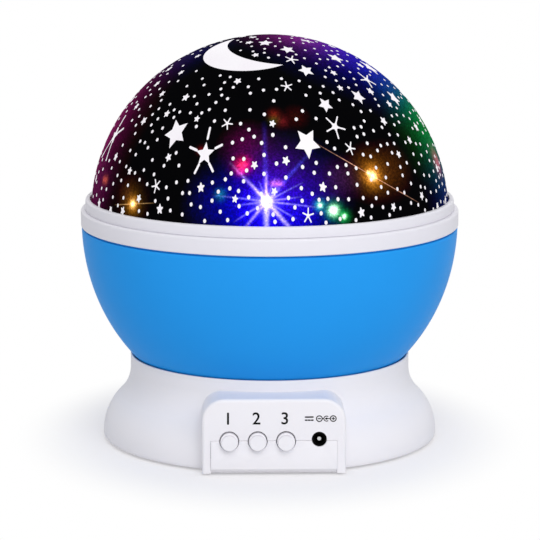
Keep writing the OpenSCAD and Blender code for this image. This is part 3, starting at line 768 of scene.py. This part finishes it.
def flare(bulge, hollow, from_z, count=26):
    """The base's outer curve, or its offset, from the foot's round up to the neck."""
    turns = [FLARE_TURN * k / count for k in range(count + 1)]
    foot = [
        (FOOT_R - FOOT_BULGE + bulge * cos(t), FOOT_BULGE_Z + bulge * sin(t))
        for t in turns
    ]
    neck = [
        (NECK_R + NECK_HOLLOW - hollow * cos(t), NECK_HOLLOW_Z - hollow * sin(t))
        for t in reversed(turns[:-1])
    ]
    return [point for point in foot + neck if point[1] <= from_z]


def under_deck(low):
    """The hollow under the deck, as an outline from its edge to the middle."""
    wall = flare(FOOT_BULGE - BASE_WALL, NECK_HOLLOW + BASE_WALL, DECK_Z - 0.3)
    return [(FOOT_R - BASE_WALL, low)] + wall + [(wall[-1][0] - 0.2, DECK_Z)]


def panel_outline(grow):
    """The raised panel from the front: a flat foot and two rounded top corners."""
    half, top, corner = PANEL_W / 2 + grow, PANEL_TOP_Z + grow, 7.7 + grow
    outline = [(-half, EDGE_Z), (half, EDGE_Z)]
    for side in (1, -1):
        for k in range(13):
            x, z = polar(corner, radians(7.5 * k if side > 0 else 90 + 7.5 * k))
            outline.append((side * (half - corner) + x, top - corner + z))
    return outline


def panel_mesh():
    """The panel's block, with its front edge rounded in steps."""
    ease, steps = 1.2, 7
    layers = []
    for k in range(steps + 1):
        a = radians(90 * k / steps)
        layers.append((-ease * (1 - sin(a)), PANEL_Y - ease * (1 - cos(a))))
    layers.append((0.0, 40.0))
    points, count = [], len(panel_outline(0))
    for grow, depth in layers:
        points += [(x, -depth, z) for x, z in panel_outline(grow)]
    last = (len(layers) - 1) * count
    faces = [list(range(count)), list(range(last + count - 1, last - 1, -1))]
    for i in range(len(layers) - 1):
        for k in range(count):
            a, b = i * count + k, i * count + (k + 1) % count
            faces.append([a, b, b + count, a + count])
    return mesh_of(points, faces)


def control_holes():
    """What cuts the holes for the buttons and the socket."""
    holes = [(BUTTON_D / 2 + 0.25, x, SPLIT_Z) for x in BUTTON_X]
    return [
        facing_front(prism(disc_outline(radius), 0, 8), x, -PANEL_Y + 5, z)
        for radius, x, z in holes + [(SOCKET_HOLE_R, SOCKET_X, SOCKET_Z)]
    ]


def base_shell_mesh():
    """The flared base with its deck, its cup and the raised panel."""
    hollow = under_deck(EDGE_Z)
    shell = (
        [(FOOT_R - 0.7, EDGE_Z), (FOOT_R - 0.25, EDGE_Z + 0.15), (FOOT_R, EDGE_Z + 0.7)]
        + flare(FOOT_BULGE, NECK_HOLLOW, 99)
        + rounded(
            [(NECK_R, 27.0), (NECK_R, LIP_Z, 0.6), (48.05, LIP_Z, 0.15), (47.2, 28.5)]
            + [(CUP_R, 26.8, 1.0), (CUP_R, DECK_LOW_Z, 1.0), (10, DECK_LOW_Z, 0.4)]
            + [(10, 27.3, 0.3), (7.5, 27.3, 0.3), (7.5, DECK_Z)]
        )
        + hollow[::-1]
    )
    body = combine("UNION", lathe(shell), panel_block())
    wall = BASE_WALL
    cavity = prism(
        box_outline(-PANEL_W / 2 + wall, PANEL_W / 2 - wall, -PANEL_Y + wall, -44),
        EDGE_Z - 1,
        DECK_Z,
    )
    behind = [
        prism(box_outline(-half, half, -PANEL_Y + wall, -49.3), EDGE_Z - 1, top)
        for half, top in ((PANEL_W / 2 - wall, 22.3), (20.0, PANEL_TOP_Z - wall))
    ]
    opening = prism(
        box_outline(-TAB_HALF - 0.07, TAB_HALF + 0.07, -PANEL_Y - 1, -PANEL_Y + 3),
        -0.3,
        SPLIT_Z + 0.08,
    )
    return combine("DIFFERENCE", body, cavity, *behind, opening, *control_holes())


def panel_block():
    """The panel outside the cup that the bowl turns in and the hollow under the deck."""
    cup = prism(disc_outline(48.25, 192), DECK_Z, 40)
    hollow = lathe([(0, -1)] + under_deck(-1) + [(0, DECK_Z + 0.01)])
    return combine("DIFFERENCE", panel_mesh(), cup, hollow)


def button_mesh(x):
    """A push button: a cap with a rounded edge and a slightly crowned face."""
    r = BUTTON_D / 2 - 0.03
    front = PANEL_Y + BUTTON_OUT
    crown = [(r - 0.45, front - 0.07), (r * 0.5, front - 0.02), (0, front)]
    outline = rounded(
        [(0, 56.1), (r + 1, 56.1), (r + 1, 56.9), (r, 56.9), (r, front - 0.09, 0.4)]
    )
    return facing_front(lathe(outline + crown, 64), x, 0, SPLIT_Z - 0.24)


# ---------- printed marks ----------

INK = 0.05  # mm, how thick a mark is


def stroke(start, end, width, steps):
    """The outline of a line along x with round ends."""
    outline = []
    for middle, turn in ((start, 90), (end, 270)):
        for k in range(steps + 1):
            x, y = polar(width / 2, radians(turn + 180 * k / steps))
            outline.append((middle + x, y))
    return outline


def bar(x, y, length, width):
    """A printed stroke with round ends, from (x, y) to the right."""
    outline = stroke(x, x + length, width, 6)
    return prism([(along, y + up) for along, up in outline], 0, INK)


def shifted(mesh, x):
    mesh.transform(Matrix.Translation((x * MM, 0, 0)))
    return mesh


def ring_mark(x):
    """A printed ring."""
    return shifted(lathe([(0.79, 0), (1.11, 0), (1.11, INK), (0.79, INK)], 40), x)


def numeral_mesh(text, x, z, height):
    curve = bpy.data.curves.new("numeral", "FONT")
    curve.body = text
    curve.size = height / 0.71 * MM
    curve.align_x = "CENTER"
    curve.extrude = INK / 2 * MM
    curve.offset = 0.05 * MM
    curve.resolution_u = 6
    writing = put("numeral", curve)
    return facing_front(outward(settled(writing), 1e-6), x, -PANEL_Y - INK / 2, z)


def power_mark_mesh(x, z):
    """Direct current, a line over three dashes, then the pin's positive sign."""
    strokes = [bar(-4.6, 0.55, 2.5, 0.46)]
    strokes += [bar(-4.6 + 1.0 * k, -0.5, 0.5, 0.46) for k in range(3)]
    strokes += [ring_mark(0), bar(-0.4, 0, 0.8, 0.32), ring_mark(4.6), bar(4.2, 0, 0.8, 0.32)]
    strokes += [prism(box_outline(4.44, 4.76, -0.5, 0.5), 0, INK)]
    strokes += [shifted(ring_sector(0.72, 1.0, 0, INK, 180, 130, 16), 2.35)]
    strokes += [bar(2.25, 0, 0.2, 0.66), bar(1.2, 0, 0.2, 0.26), bar(2.7, 0, 0.85, 0.26)]
    return facing_front(join(strokes), x, -PANEL_Y, z)


# ---------- windows in the dome ----------

STAR, SMALL, THIN = "star", "small", "thin"
RAYED, LONG_RAYED, FAR_RAYED = "rayed", "long_rayed", "far_rayed"

# The large stars, where the skin's solid has them: azimuth from the front, height over the
# equator, radius in mm, turn, kind
STARS = [
    (-38, 33, 5.2, 29, STAR), (-24, 27, 8.4, 5, LONG_RAYED), (12, 31, 5.2, 180, STAR),
    (24, 36, 4.4, 182, RAYED), (23, 44, 2.9, 24, STAR), (42, 46, 3, 30, STAR),
    (67, 43, 3.2, 20, STAR), (54, 64, 3, 20, STAR), (21, 59, 3, 10, STAR),
    (17, 72, 2.8, 10, STAR), (-8, 78, 2.8, 0, STAR), (58, 52, 4, 10, RAYED),
    (80, 56, 4, 10, STAR), (-76, 28, 8.4, 0, FAR_RAYED), (-110, 52, 4.4, 0, STAR),
    (-128, 26, 7.8, 12, LONG_RAYED), (-150, 44, 5.2, 30, STAR), (-172, 22, 4.6, 0, STAR),
    (172, 58, 4.4, 15, RAYED), (150, 30, 5.2, 180, STAR), (126, 50, 4, 8, STAR),
    (104, 27, 8, 0, LONG_RAYED), (100, 66, 3.2, 25, STAR),
]
MOON_PATCH = (-22, 73.1, 15.1, 1.105)
MOON_SHADE = (21.5, 79.2, 18.4, 1.02)
DOT_R = 0.68
DOT_LOW = 5.5  # degrees over the equator, the lowest dots
DOT_TRIES = 9000
DOT_GAPS = (0.2, 2.2)  # mm kept free round a dot
DOT_CLEAR = 0.7
SMALL_TRIES = 1400
SMALL_R = (1.2, 1.7)
SMALL_GAPS = (2.5, 9.0)
THIN_R = (2.2, 2.6)
THIN_SHARE = 0.18
WINDOW_T = 0.25  # mm, how thick a window is
ROUND_STEPS = 720


def bearings(way):
    azimuth = degrees(atan2(way.x, -way.y))
    return azimuth, degrees(asin(max(-1, min(1, way.z))))


def on_moon(way, spare):
    """Whether a place is on the crescent, or nearer to it than spare."""
    outer, inner = (
        way.angle(dome_way(*patch[:2])) * DOME_R for patch in (MOON_PATCH, MOON_SHADE)
    )
    return outer < MOON_PATCH[2] * MOON_PATCH[3] + spare and inner > MOON_SHADE[2] - spare


def anywhere(scatter):
    """A seeded place on the dome: its direction, its turn round and its height."""
    z = scatter.uniform(sin(radians(DOT_LOW)), 0.995)
    a = scatter.uniform(0, tau)
    across = sqrt(1 - z * z)
    return Vector((cos(a) * across, sin(a) * across, z)), a, z


def small_windows():
    """Small stars, then dots in drifts, spread by a seeded rule and kept apart."""
    scatter = random.Random(7)
    taken = [(dome_way(a, h), r) for a, h, r, turn, kind in STARS]
    apart, placed = list(taken), []

    def free(way, radius, others):
        near = radius + DOT_CLEAR
        return not on_moon(way, near) and all(
            way.angle(w) * DOME_R > r + near for w, r in others
        )

    for _ in range(SMALL_TRIES):
        way = anywhere(scatter)[0]
        kind = THIN if scatter.random() < THIN_SHARE else SMALL
        radius = scatter.uniform(*(THIN_R if kind == THIN else SMALL_R))
        turn, gap = scatter.uniform(0, 72), scatter.uniform(*SMALL_GAPS)
        if free(way, radius, apart):
            placed.append((kind, way, radius, turn))
            taken.append((way, radius))
            apart.append((way, radius + gap))
    for _ in range(DOT_TRIES):
        way, a, z = anywhere(scatter)
        chance, gap = scatter.random(), scatter.uniform(*DOT_GAPS)
        drift = 0.55 + 0.45 * sin(3 * a + 4 * z) * cos(2 * a - 5 * z)
        if chance < drift and free(way, DOT_R, taken):
            placed.append(("dot", way, dot_size(way), 0))
            taken.append((way, DOT_R + gap))
    return placed


def dot_size(way):
    """The dots get smaller round the sides and up the dome."""
    azimuth, height = bearings(way)
    return max(0.47, DOT_R - 0.0022 * abs(azimuth) - 0.004 * max(0, height - 35))


def star_points(radius, waist, blunt=0.0):
    """A five-pointed outline, its first point towards -x; blunt is in degrees."""
    outline = []
    for k in range(5):
        tips = [(-blunt, 0.93), (0, 1.0), (blunt, 0.93)] if blunt else [(0, 1.0)]
        for turn, reach in tips + [(36, waist)]:
            a = radians(72 * k + turn)
            outline.append((-radius * reach * cos(a), radius * reach * sin(a)))
    return outline


def ray_points(bearing, start, end, width):
    """One ray with round ends, at a bearing clockwise from up."""
    a = radians(180 - bearing)
    outline = stroke(start, end, width, 4)
    return [(x * cos(a) - y * sin(a), x * sin(a) + y * cos(a)) for x, y in outline]


def slab(outlines):
    """Thin closed slabs over outlines; the attribute lift is 1 on top, 0 below."""
    points, faces, lift = [], [], []
    for outline in outlines:
        count, first = len(outline), len(points)
        middle = [sum(p[i] for p in outline) / count for i in (0, 1)]
        for top in (1, 0):
            points += [(x, y, 0.02 * top) for x, y in outline] + [(*middle, 0.02 * top)]
            lift += [float(top)] * (count + 1)
        under = first + count + 1
        for k in range(count):
            n = (k + 1) % count
            faces.append([first + k, first + n, first + count])
            faces.append([under + n, under + k, under + count])
            faces.append([first + n, first + k, under + k, under + n])
    mesh = raw_mesh("window_shape", points, faces)
    reworked(mesh, lambda work: bmesh.ops.recalc_face_normals(work, faces=work.faces))
    mesh.attributes.new("lift", "FLOAT", "POINT").data.foreach_set("value", lift)
    return mesh


def rayed(core, waist, width, rays):
    """A small star with rays of (bearing, start, end) round it."""
    return [star_points(core, waist)] + [ray_points(*ray, width) for ray in rays]


FAR_RAYS = [(340, 0.1, 0.34), (351, 0.44, 0.86), (60, 0.2, 0.8)]
FAR_RAYS += [(163, 0.2, 1.0), (221, 0.2, 1.25)]
LONG_RAYS = [(3, 0.6, 1.04), (67, 0.53, 0.85), (144, 0.46, 0.82)]
LONG_RAYS += [(211, 0.46, 0.81), (291, 0.47, 0.86)]

WINDOW_SHAPES = {
    "dot": [disc_outline(1.0, 12)],
    STAR: [star_points(1.0, 0.5)],
    SMALL: [star_points(1.0, 0.54, 7.0)],
    THIN: rayed(0.5, 0.5, 0.19, [(72 * k, 0.25, 0.92) for k in range(5)]),
    RAYED: rayed(0.5, 0.45, 0.12, [(72 * k, 0.4, 0.92) for k in range(5)]),
    FAR_RAYED: rayed(0.34, 0.45, 0.09, FAR_RAYS),
    LONG_RAYED: rayed(0.47, 0.45, 0.1, LONG_RAYS),
}


def window_tree():
    """Sets a window's shape on every marked place and lays it on the dome."""
    tree = bpy.data.node_groups.new("dome_windows", "GeometryNodeTree")
    panel = tree.interface
    inputs = {"Places": "Geometry", "Shape": "Object", "Finish": "Material"}
    inputs |= dict.fromkeys(("Dome radius", "Dome height", "Depth"), "Float")
    for name, kind in inputs.items():
        panel.new_socket(name, in_out="INPUT", socket_type="NodeSocket" + kind)
    panel.new_socket("Windows", in_out="OUTPUT", socket_type="NodeSocketGeometry")

    def add(kind, sockets=None, out=0, **settings):
        outputs = add_node(tree, kind, settings, sockets).outputs
        return outputs[out] if outputs else None

    def vector(kind, *values):
        return add("ShaderNodeVectorMath", dict(enumerate(values)), operation=kind)

    def maths(kind, *values):
        return add("ShaderNodeMath", dict(enumerate(values)), operation=kind)

    def marked(name, kind="FLOAT_VECTOR"):
        return add("GeometryNodeInputNamedAttribute", {"Name": name}, data_type=kind)

    def rotation(name):
        return add("FunctionNodeEulerToRotation", {0: marked(name)})

    given = tree.nodes.new("NodeGroupInput").outputs
    shape = add("GeometryNodeObjectInfo", {"Object": given["Shape"]}, "Geometry")
    sockets = {"Points": given["Places"], "Instance": shape}
    sockets |= {"Rotation": rotation("turn"), "Scale": marked("size")}
    windows = add("GeometryNodeInstanceOnPoints", sockets)
    place = add("GeometryNodeInputPosition")
    sockets = {"Instances": windows, "Scale": marked("stretch")}
    sockets |= {"Center": place, "Local Space": False}
    windows = add("GeometryNodeScaleInstances", sockets)
    sockets = {"Instances": windows, "Rotation": rotation("facing")}
    sockets |= {"Pivot Point": place, "Local Space": False}
    windows = add("GeometryNodeRotateInstances", sockets)
    windows = add("GeometryNodeRealizeInstances", {0: windows})
    centre = add("ShaderNodeCombineXYZ", {2: given["Dome height"]})
    away = vector("NORMALIZE", vector("SUBTRACT", place, centre))
    under = maths("SUBTRACT", 1.0, marked("lift", "FLOAT"))
    reach = maths("SUBTRACT", given["Dome radius"], maths("MULTIPLY", under, given["Depth"]))
    spread = add("ShaderNodeVectorMath", {0: away, "Scale": reach}, operation="SCALE")
    laid = {"Geometry": windows, "Position": vector("ADD", spread, centre)}
    windows = add("GeometryNodeSetPosition", laid)
    dressed = {"Geometry": windows, "Material": given["Finish"]}
    add("NodeGroupOutput", {0: add("GeometryNodeSetMaterial", dressed)})
    return tree


def drawn_up(height):
    """How the formed film stretches a window: up the dome, round it, and through it."""
    share = min(max(height, 0) / 60, 1)
    return 1.12 - 0.08 * share, 0.80 + 0.10 * share, 1.0


def set_windows(tree, places, outlines):
    """Runs the tree over places of (direction, size, turn) for one shape."""
    middle = Vector((0, 0, DOME_Z))
    marks = raw_mesh("marks", [(way * DOME_R + middle) * MM for way, size, turn in places])
    notes = {"facing": [], "turn": [], "size": [], "stretch": []}
    for way, size, turn in places:
        azimuth, height = bearings(way)
        notes["facing"] += dome_turn(azimuth, height, 0).to_euler()
        notes["turn"] += (0, 0, radians(turn))
        notes["size"] += (size * MM,) * 3
        notes["stretch"] += drawn_up(height)
    for name, values in notes.items():
        kept = marks.attributes.new(name, "FLOAT_VECTOR", "POINT")
        kept.data.foreach_set("vector", values)
    holder, shape = put("marks", marks), put("shape", slab(outlines))
    setting = holder.modifiers.new("windows", "NODES")
    setting.node_group = tree
    values = {
        "Shape": shape,
        "Finish": FINISHES["window"],
        "Dome radius": DOME_R * MM,
        "Dome height": DOME_Z * MM,
        "Depth": WINDOW_T * MM,
    }
    for item in tree.interface.items_tree:
        if item.item_type == "SOCKET" and item.name in values:
            setting[item.identifier] = values[item.name]
    return settled(holder, shape)


def moon_mesh(steps=56, across=7):
    """The crescent: strips between its outer round and the round taken from it."""

    def round_of(patch):
        azimuth, height, radius, wide = patch
        turned = dome_turn(azimuth, height, 0)
        up = sqrt(DOME_R**2 - radius**2)
        turns = [tau * k / ROUND_STEPS for k in range(ROUND_STEPS)]
        flat = [(radius * cos(a), radius * wide * sin(a)) for a in turns]
        return [turned @ Vector((x, y, up)).normalized() * DOME_R for x, y in flat]

    def inside(point, patch):
        azimuth, height, radius, wide = patch
        x, y, z = dome_turn(azimuth, height, 0).inverted() @ point
        return hypot(x, y / wide) < radius and z > 0

    def run(points, keep):
        """The one unbroken run of points that are kept, in order."""
        flags = [keep(p) for p in points]
        first = next(i for i in range(ROUND_STEPS) if flags[i] and not flags[i - 1])
        kept = []
        while flags[(first + len(kept)) % ROUND_STEPS]:
            kept.append(points[(first + len(kept)) % ROUND_STEPS])
        return kept

    def resampled(points):
        return [points[round(k * (len(points) - 1) / steps)] for k in range(steps + 1)]

    outer = resampled(run(round_of(MOON_PATCH), lambda p: not inside(p, MOON_SHADE)))
    inner = resampled(run(round_of(MOON_SHADE), lambda p: inside(p, MOON_PATCH)))
    if (outer[0] - inner[0]).length > (outer[0] - inner[-1]).length:
        inner.reverse()
    points, faces = [], []
    layer = (steps + 1) * (across + 1)
    for radius in (DOME_R, DOME_R - WINDOW_T):
        for a, b in zip(outer, inner):
            for k in range(across + 1):
                way = (a + (b - a) * k / across).normalized()
                points.append(way * radius + Vector((0, 0, DOME_Z)))
    for i in range(steps):
        for k in range(across):
            p = i * (across + 1) + k
            q = p + across + 1
            faces.append([p, p + 1, q + 1, q])
            faces.append([p + layer, q + layer, q + 1 + layer, p + 1 + layer])
    row = across + 1
    rim = [i * row for i in range(steps + 1)] + [steps * row + k for k in range(1, row)]
    rim += [i * row + across for i in range(steps - 1, -1, -1)]
    rim += range(across - 1, 0, -1)
    for j, p in enumerate(rim):
        q = rim[(j + 1) % len(rim)]
        faces.append([p, q, q + layer, p + layer])
    return mesh_of(points, faces)


def windows_mesh():
    tree = window_tree()
    sets = {kind: [] for kind in WINDOW_SHAPES}
    for azimuth, height, radius, turn, kind in STARS:
        sets[kind].append((dome_way(azimuth, height), radius, turn))
    for kind, way, size, turn in small_windows():
        sets[kind].append((way, size, turn))
    meshes = [set_windows(tree, sets[kind], WINDOW_SHAPES[kind]) for kind in sets]
    return join(meshes + [moon_mesh()])


def dome_skin_mesh():
    """The dome's shell, printed black, from its edge in the ring to its top."""

    def arc(radius, count=72):
        low = asin((DOME_EDGE_Z - DOME_Z) / radius)
        turns = [low + (pi / 2 - low) * k / count for k in range(count)]
        side = [(radius * cos(t), DOME_Z + radius * sin(t)) for t in turns]
        return side + [(0.0, DOME_Z + radius)]

    return lathe(arc(SKIN_R - SKIN_T)[::-1] + arc(SKIN_R))


# ---------- making ----------

# painted shade: the two rings take the darker copy of the white plastic
WHITE, SHADED_COLLAR = "white_plastic", "shaded_collar_white"

add_piece("bowl_shell", bowl_mesh(), "ball", "blue_plastic", ["bowl"])
add_piece("bowl_collar", bowl_ring_mesh(), "ball", WHITE, ["bowl_ring"], SHADED_COLLAR)
add_piece("dome_collar", dome_ring_mesh(), "dome", WHITE, ["dome_ring"], SHADED_COLLAR)
add_piece("night_dome", dome_skin_mesh(), "dome", "night_ink", ["star_mask", "clear_dome"])
add_piece("dome_lights", windows_mesh(), "dome", "clear_plastic", (), "window", sharp=60)
add_piece("base_shell", base_shell_mesh(), "base", WHITE, ["base_housing"])
add_piece("bottom_cover", eased("base_plate", 0.3), "base", WHITE, ["base_plate"])
add_piece("cell_cover", eased("battery_door", 0.2), "cell_door", WHITE, ["battery_door"])
for side, letter, x in zip(("left", "middle", "right"), "abc", BUTTON_X):
    cap = button_mesh(x)
    add_piece(f"{side}_cap", cap, f"{side}_button", WHITE, [f"button_{letter}"])
for number, x in zip("123", BUTTON_X):
    numeral = numeral_mesh(number, x - 0.4, 17.55, 4.1)
    add_piece(f"numeral_{number}", numeral, "base", "night_ink", finish="mark")
power_mark = power_mark_mesh(SOCKET_X, 19.35)
add_piece("power_mark", power_mark, "base", "night_ink", finish="mark")

# ---------- finishes of the solids that stay ----------

SOLIDS_OF = {
    "cell_jacket": "aaa_cells",
    "spring_steel": "battery_springs",
    "contact_metal": "battery_contacts socket_pin",
    "rubber": "rubber_feet",
    "screw_steel": "base_screws board_screws tower_screws motor_screws motor_shaft "
    "lamp_screws gear_screws",
    "circuit_board": "control_board",
    "black_plastic": "board_parts tact_switches",
    "plunger_plastic": "switch_plunger_a switch_plunger_b switch_plunger_c",
    "socket_black": "power_socket",
    "gear_plastic": "glide_ring thrust_washer pinion ring_gear",
    "white_plastic": "tower_base tower_cover reflector_tray",
    "motor_can": "gear_motor",
    "lamp_board_white": "lamp_board",
    "lens_red": "lamp_red",
    "lens_green": "lamp_green",
    "lens_blue": "lamp_blue",
    "lens_warm": "lamp_warm",
    "lead_cover": "battery_leads motor_leads lamp_leads",
}
for finish, names in SOLIDS_OF.items():
    for name in names.split():
        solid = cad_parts[name]
        solid.data.materials.clear()
        solid.data.materials.append(FINISHES[finish])

# ---------- floor, background and lights ----------

SOFT_LIGHT = 0.61


def floor_finish():
    """A pale floor: white to the eye, but for the soft shadow that stands on it."""
    paint = Paint("pale_floor")
    seen = paint.node("LightPath", out="Is Camera Ray")
    behind = paint.node("NewGeometry", out="Backfacing")
    plain = paint.node("BsdfDiffuse", {0: (0.86, 0.86, 0.87)})
    pale = paint.node("BsdfDiffuse", {0: (0.86, 0.85, 0.85)})
    lift = paint.node("Emission", {0: (0.94, 0.93, 0.97), 1: 1.0})
    near = paint.blend(0.45, pale, lift)
    white = paint.node("Emission", {0: (1, 1, 1), 1: 1.0})
    oval = paint.vector("MULTIPLY", paint.spot, (1.25, 1.0, 1.0))
    away = paint.vector("LENGTH", oval, out="Value")
    shown = paint.blend(paint.smooth(away, 0.066, 0.114), near, white)
    both = paint.blend(seen, plain, shown)
    gone = paint.node("BsdfTransparent")
    final = paint.blend(behind * seen, both, gone)
    paint.node("OutputMaterial", {"Surface": final})
    return paint.material


def add_floor():
    half = 6.0
    corners = [(x, y, 0) for x, y in box_outline(-half, half, -half, half)]
    mesh = raw_mesh("floor", corners, [(0, 1, 2, 3)])
    mesh.materials.append(floor_finish())
    floor = put("floor", mesh)


def add_world():
    """Soft light from all round; what is seen or mirrored of it is plain white."""
    world = bpy.data.worlds.new("studio")
    world.use_nodes = True
    scene.world = world
    tree = world.node_tree
    tree.nodes.clear()
    rays = tree.nodes.new("ShaderNodeLightPath").outputs
    seen = rays["Is Camera Ray"]
    for name in ("Is Glossy Ray", "Is Transmission Ray"):
        either = {0: seen, 1: rays[name]}
        seen = add_node(tree, "ShaderNodeMath", {"operation": "MAXIMUM"}, either).outputs[0]
    layers = {0: seen}
    for slot, strength in ((1, SOFT_LIGHT), (2, 1.0)):
        sockets = {"Color": (1, 1, 1), "Strength": strength}
        layers[slot] = add_node(tree, "ShaderNodeBackground", None, sockets).outputs[0]
    blend = add_node(tree, "ShaderNodeMixShader", None, layers)
    add_node(tree, "ShaderNodeOutputWorld", None, {"Surface": blend.outputs[0]})


def add_softbox(name, place, size, power):
    lamp = bpy.data.lights.new(name, "AREA")
    lamp.shape = "SQUARE"
    lamp.size = size
    lamp.energy = power
    holder = put(name, lamp)
    holder.location = place
    aim = Vector((0, 0, 0.06)) - Vector(place)
    holder.rotation_euler = aim.to_track_quat("-Z", "Y").to_euler()


add_floor()
add_world()
add_softbox("key_box", (0.70, -1.38, 0.85), 1.0, 7.5)
add_softbox("top_box", (0.08, -1.05, 1.15), 0.8, 6.8)
add_softbox("fill_box", (-1.3, -1.0, 0.5), 0.9, 0.85)
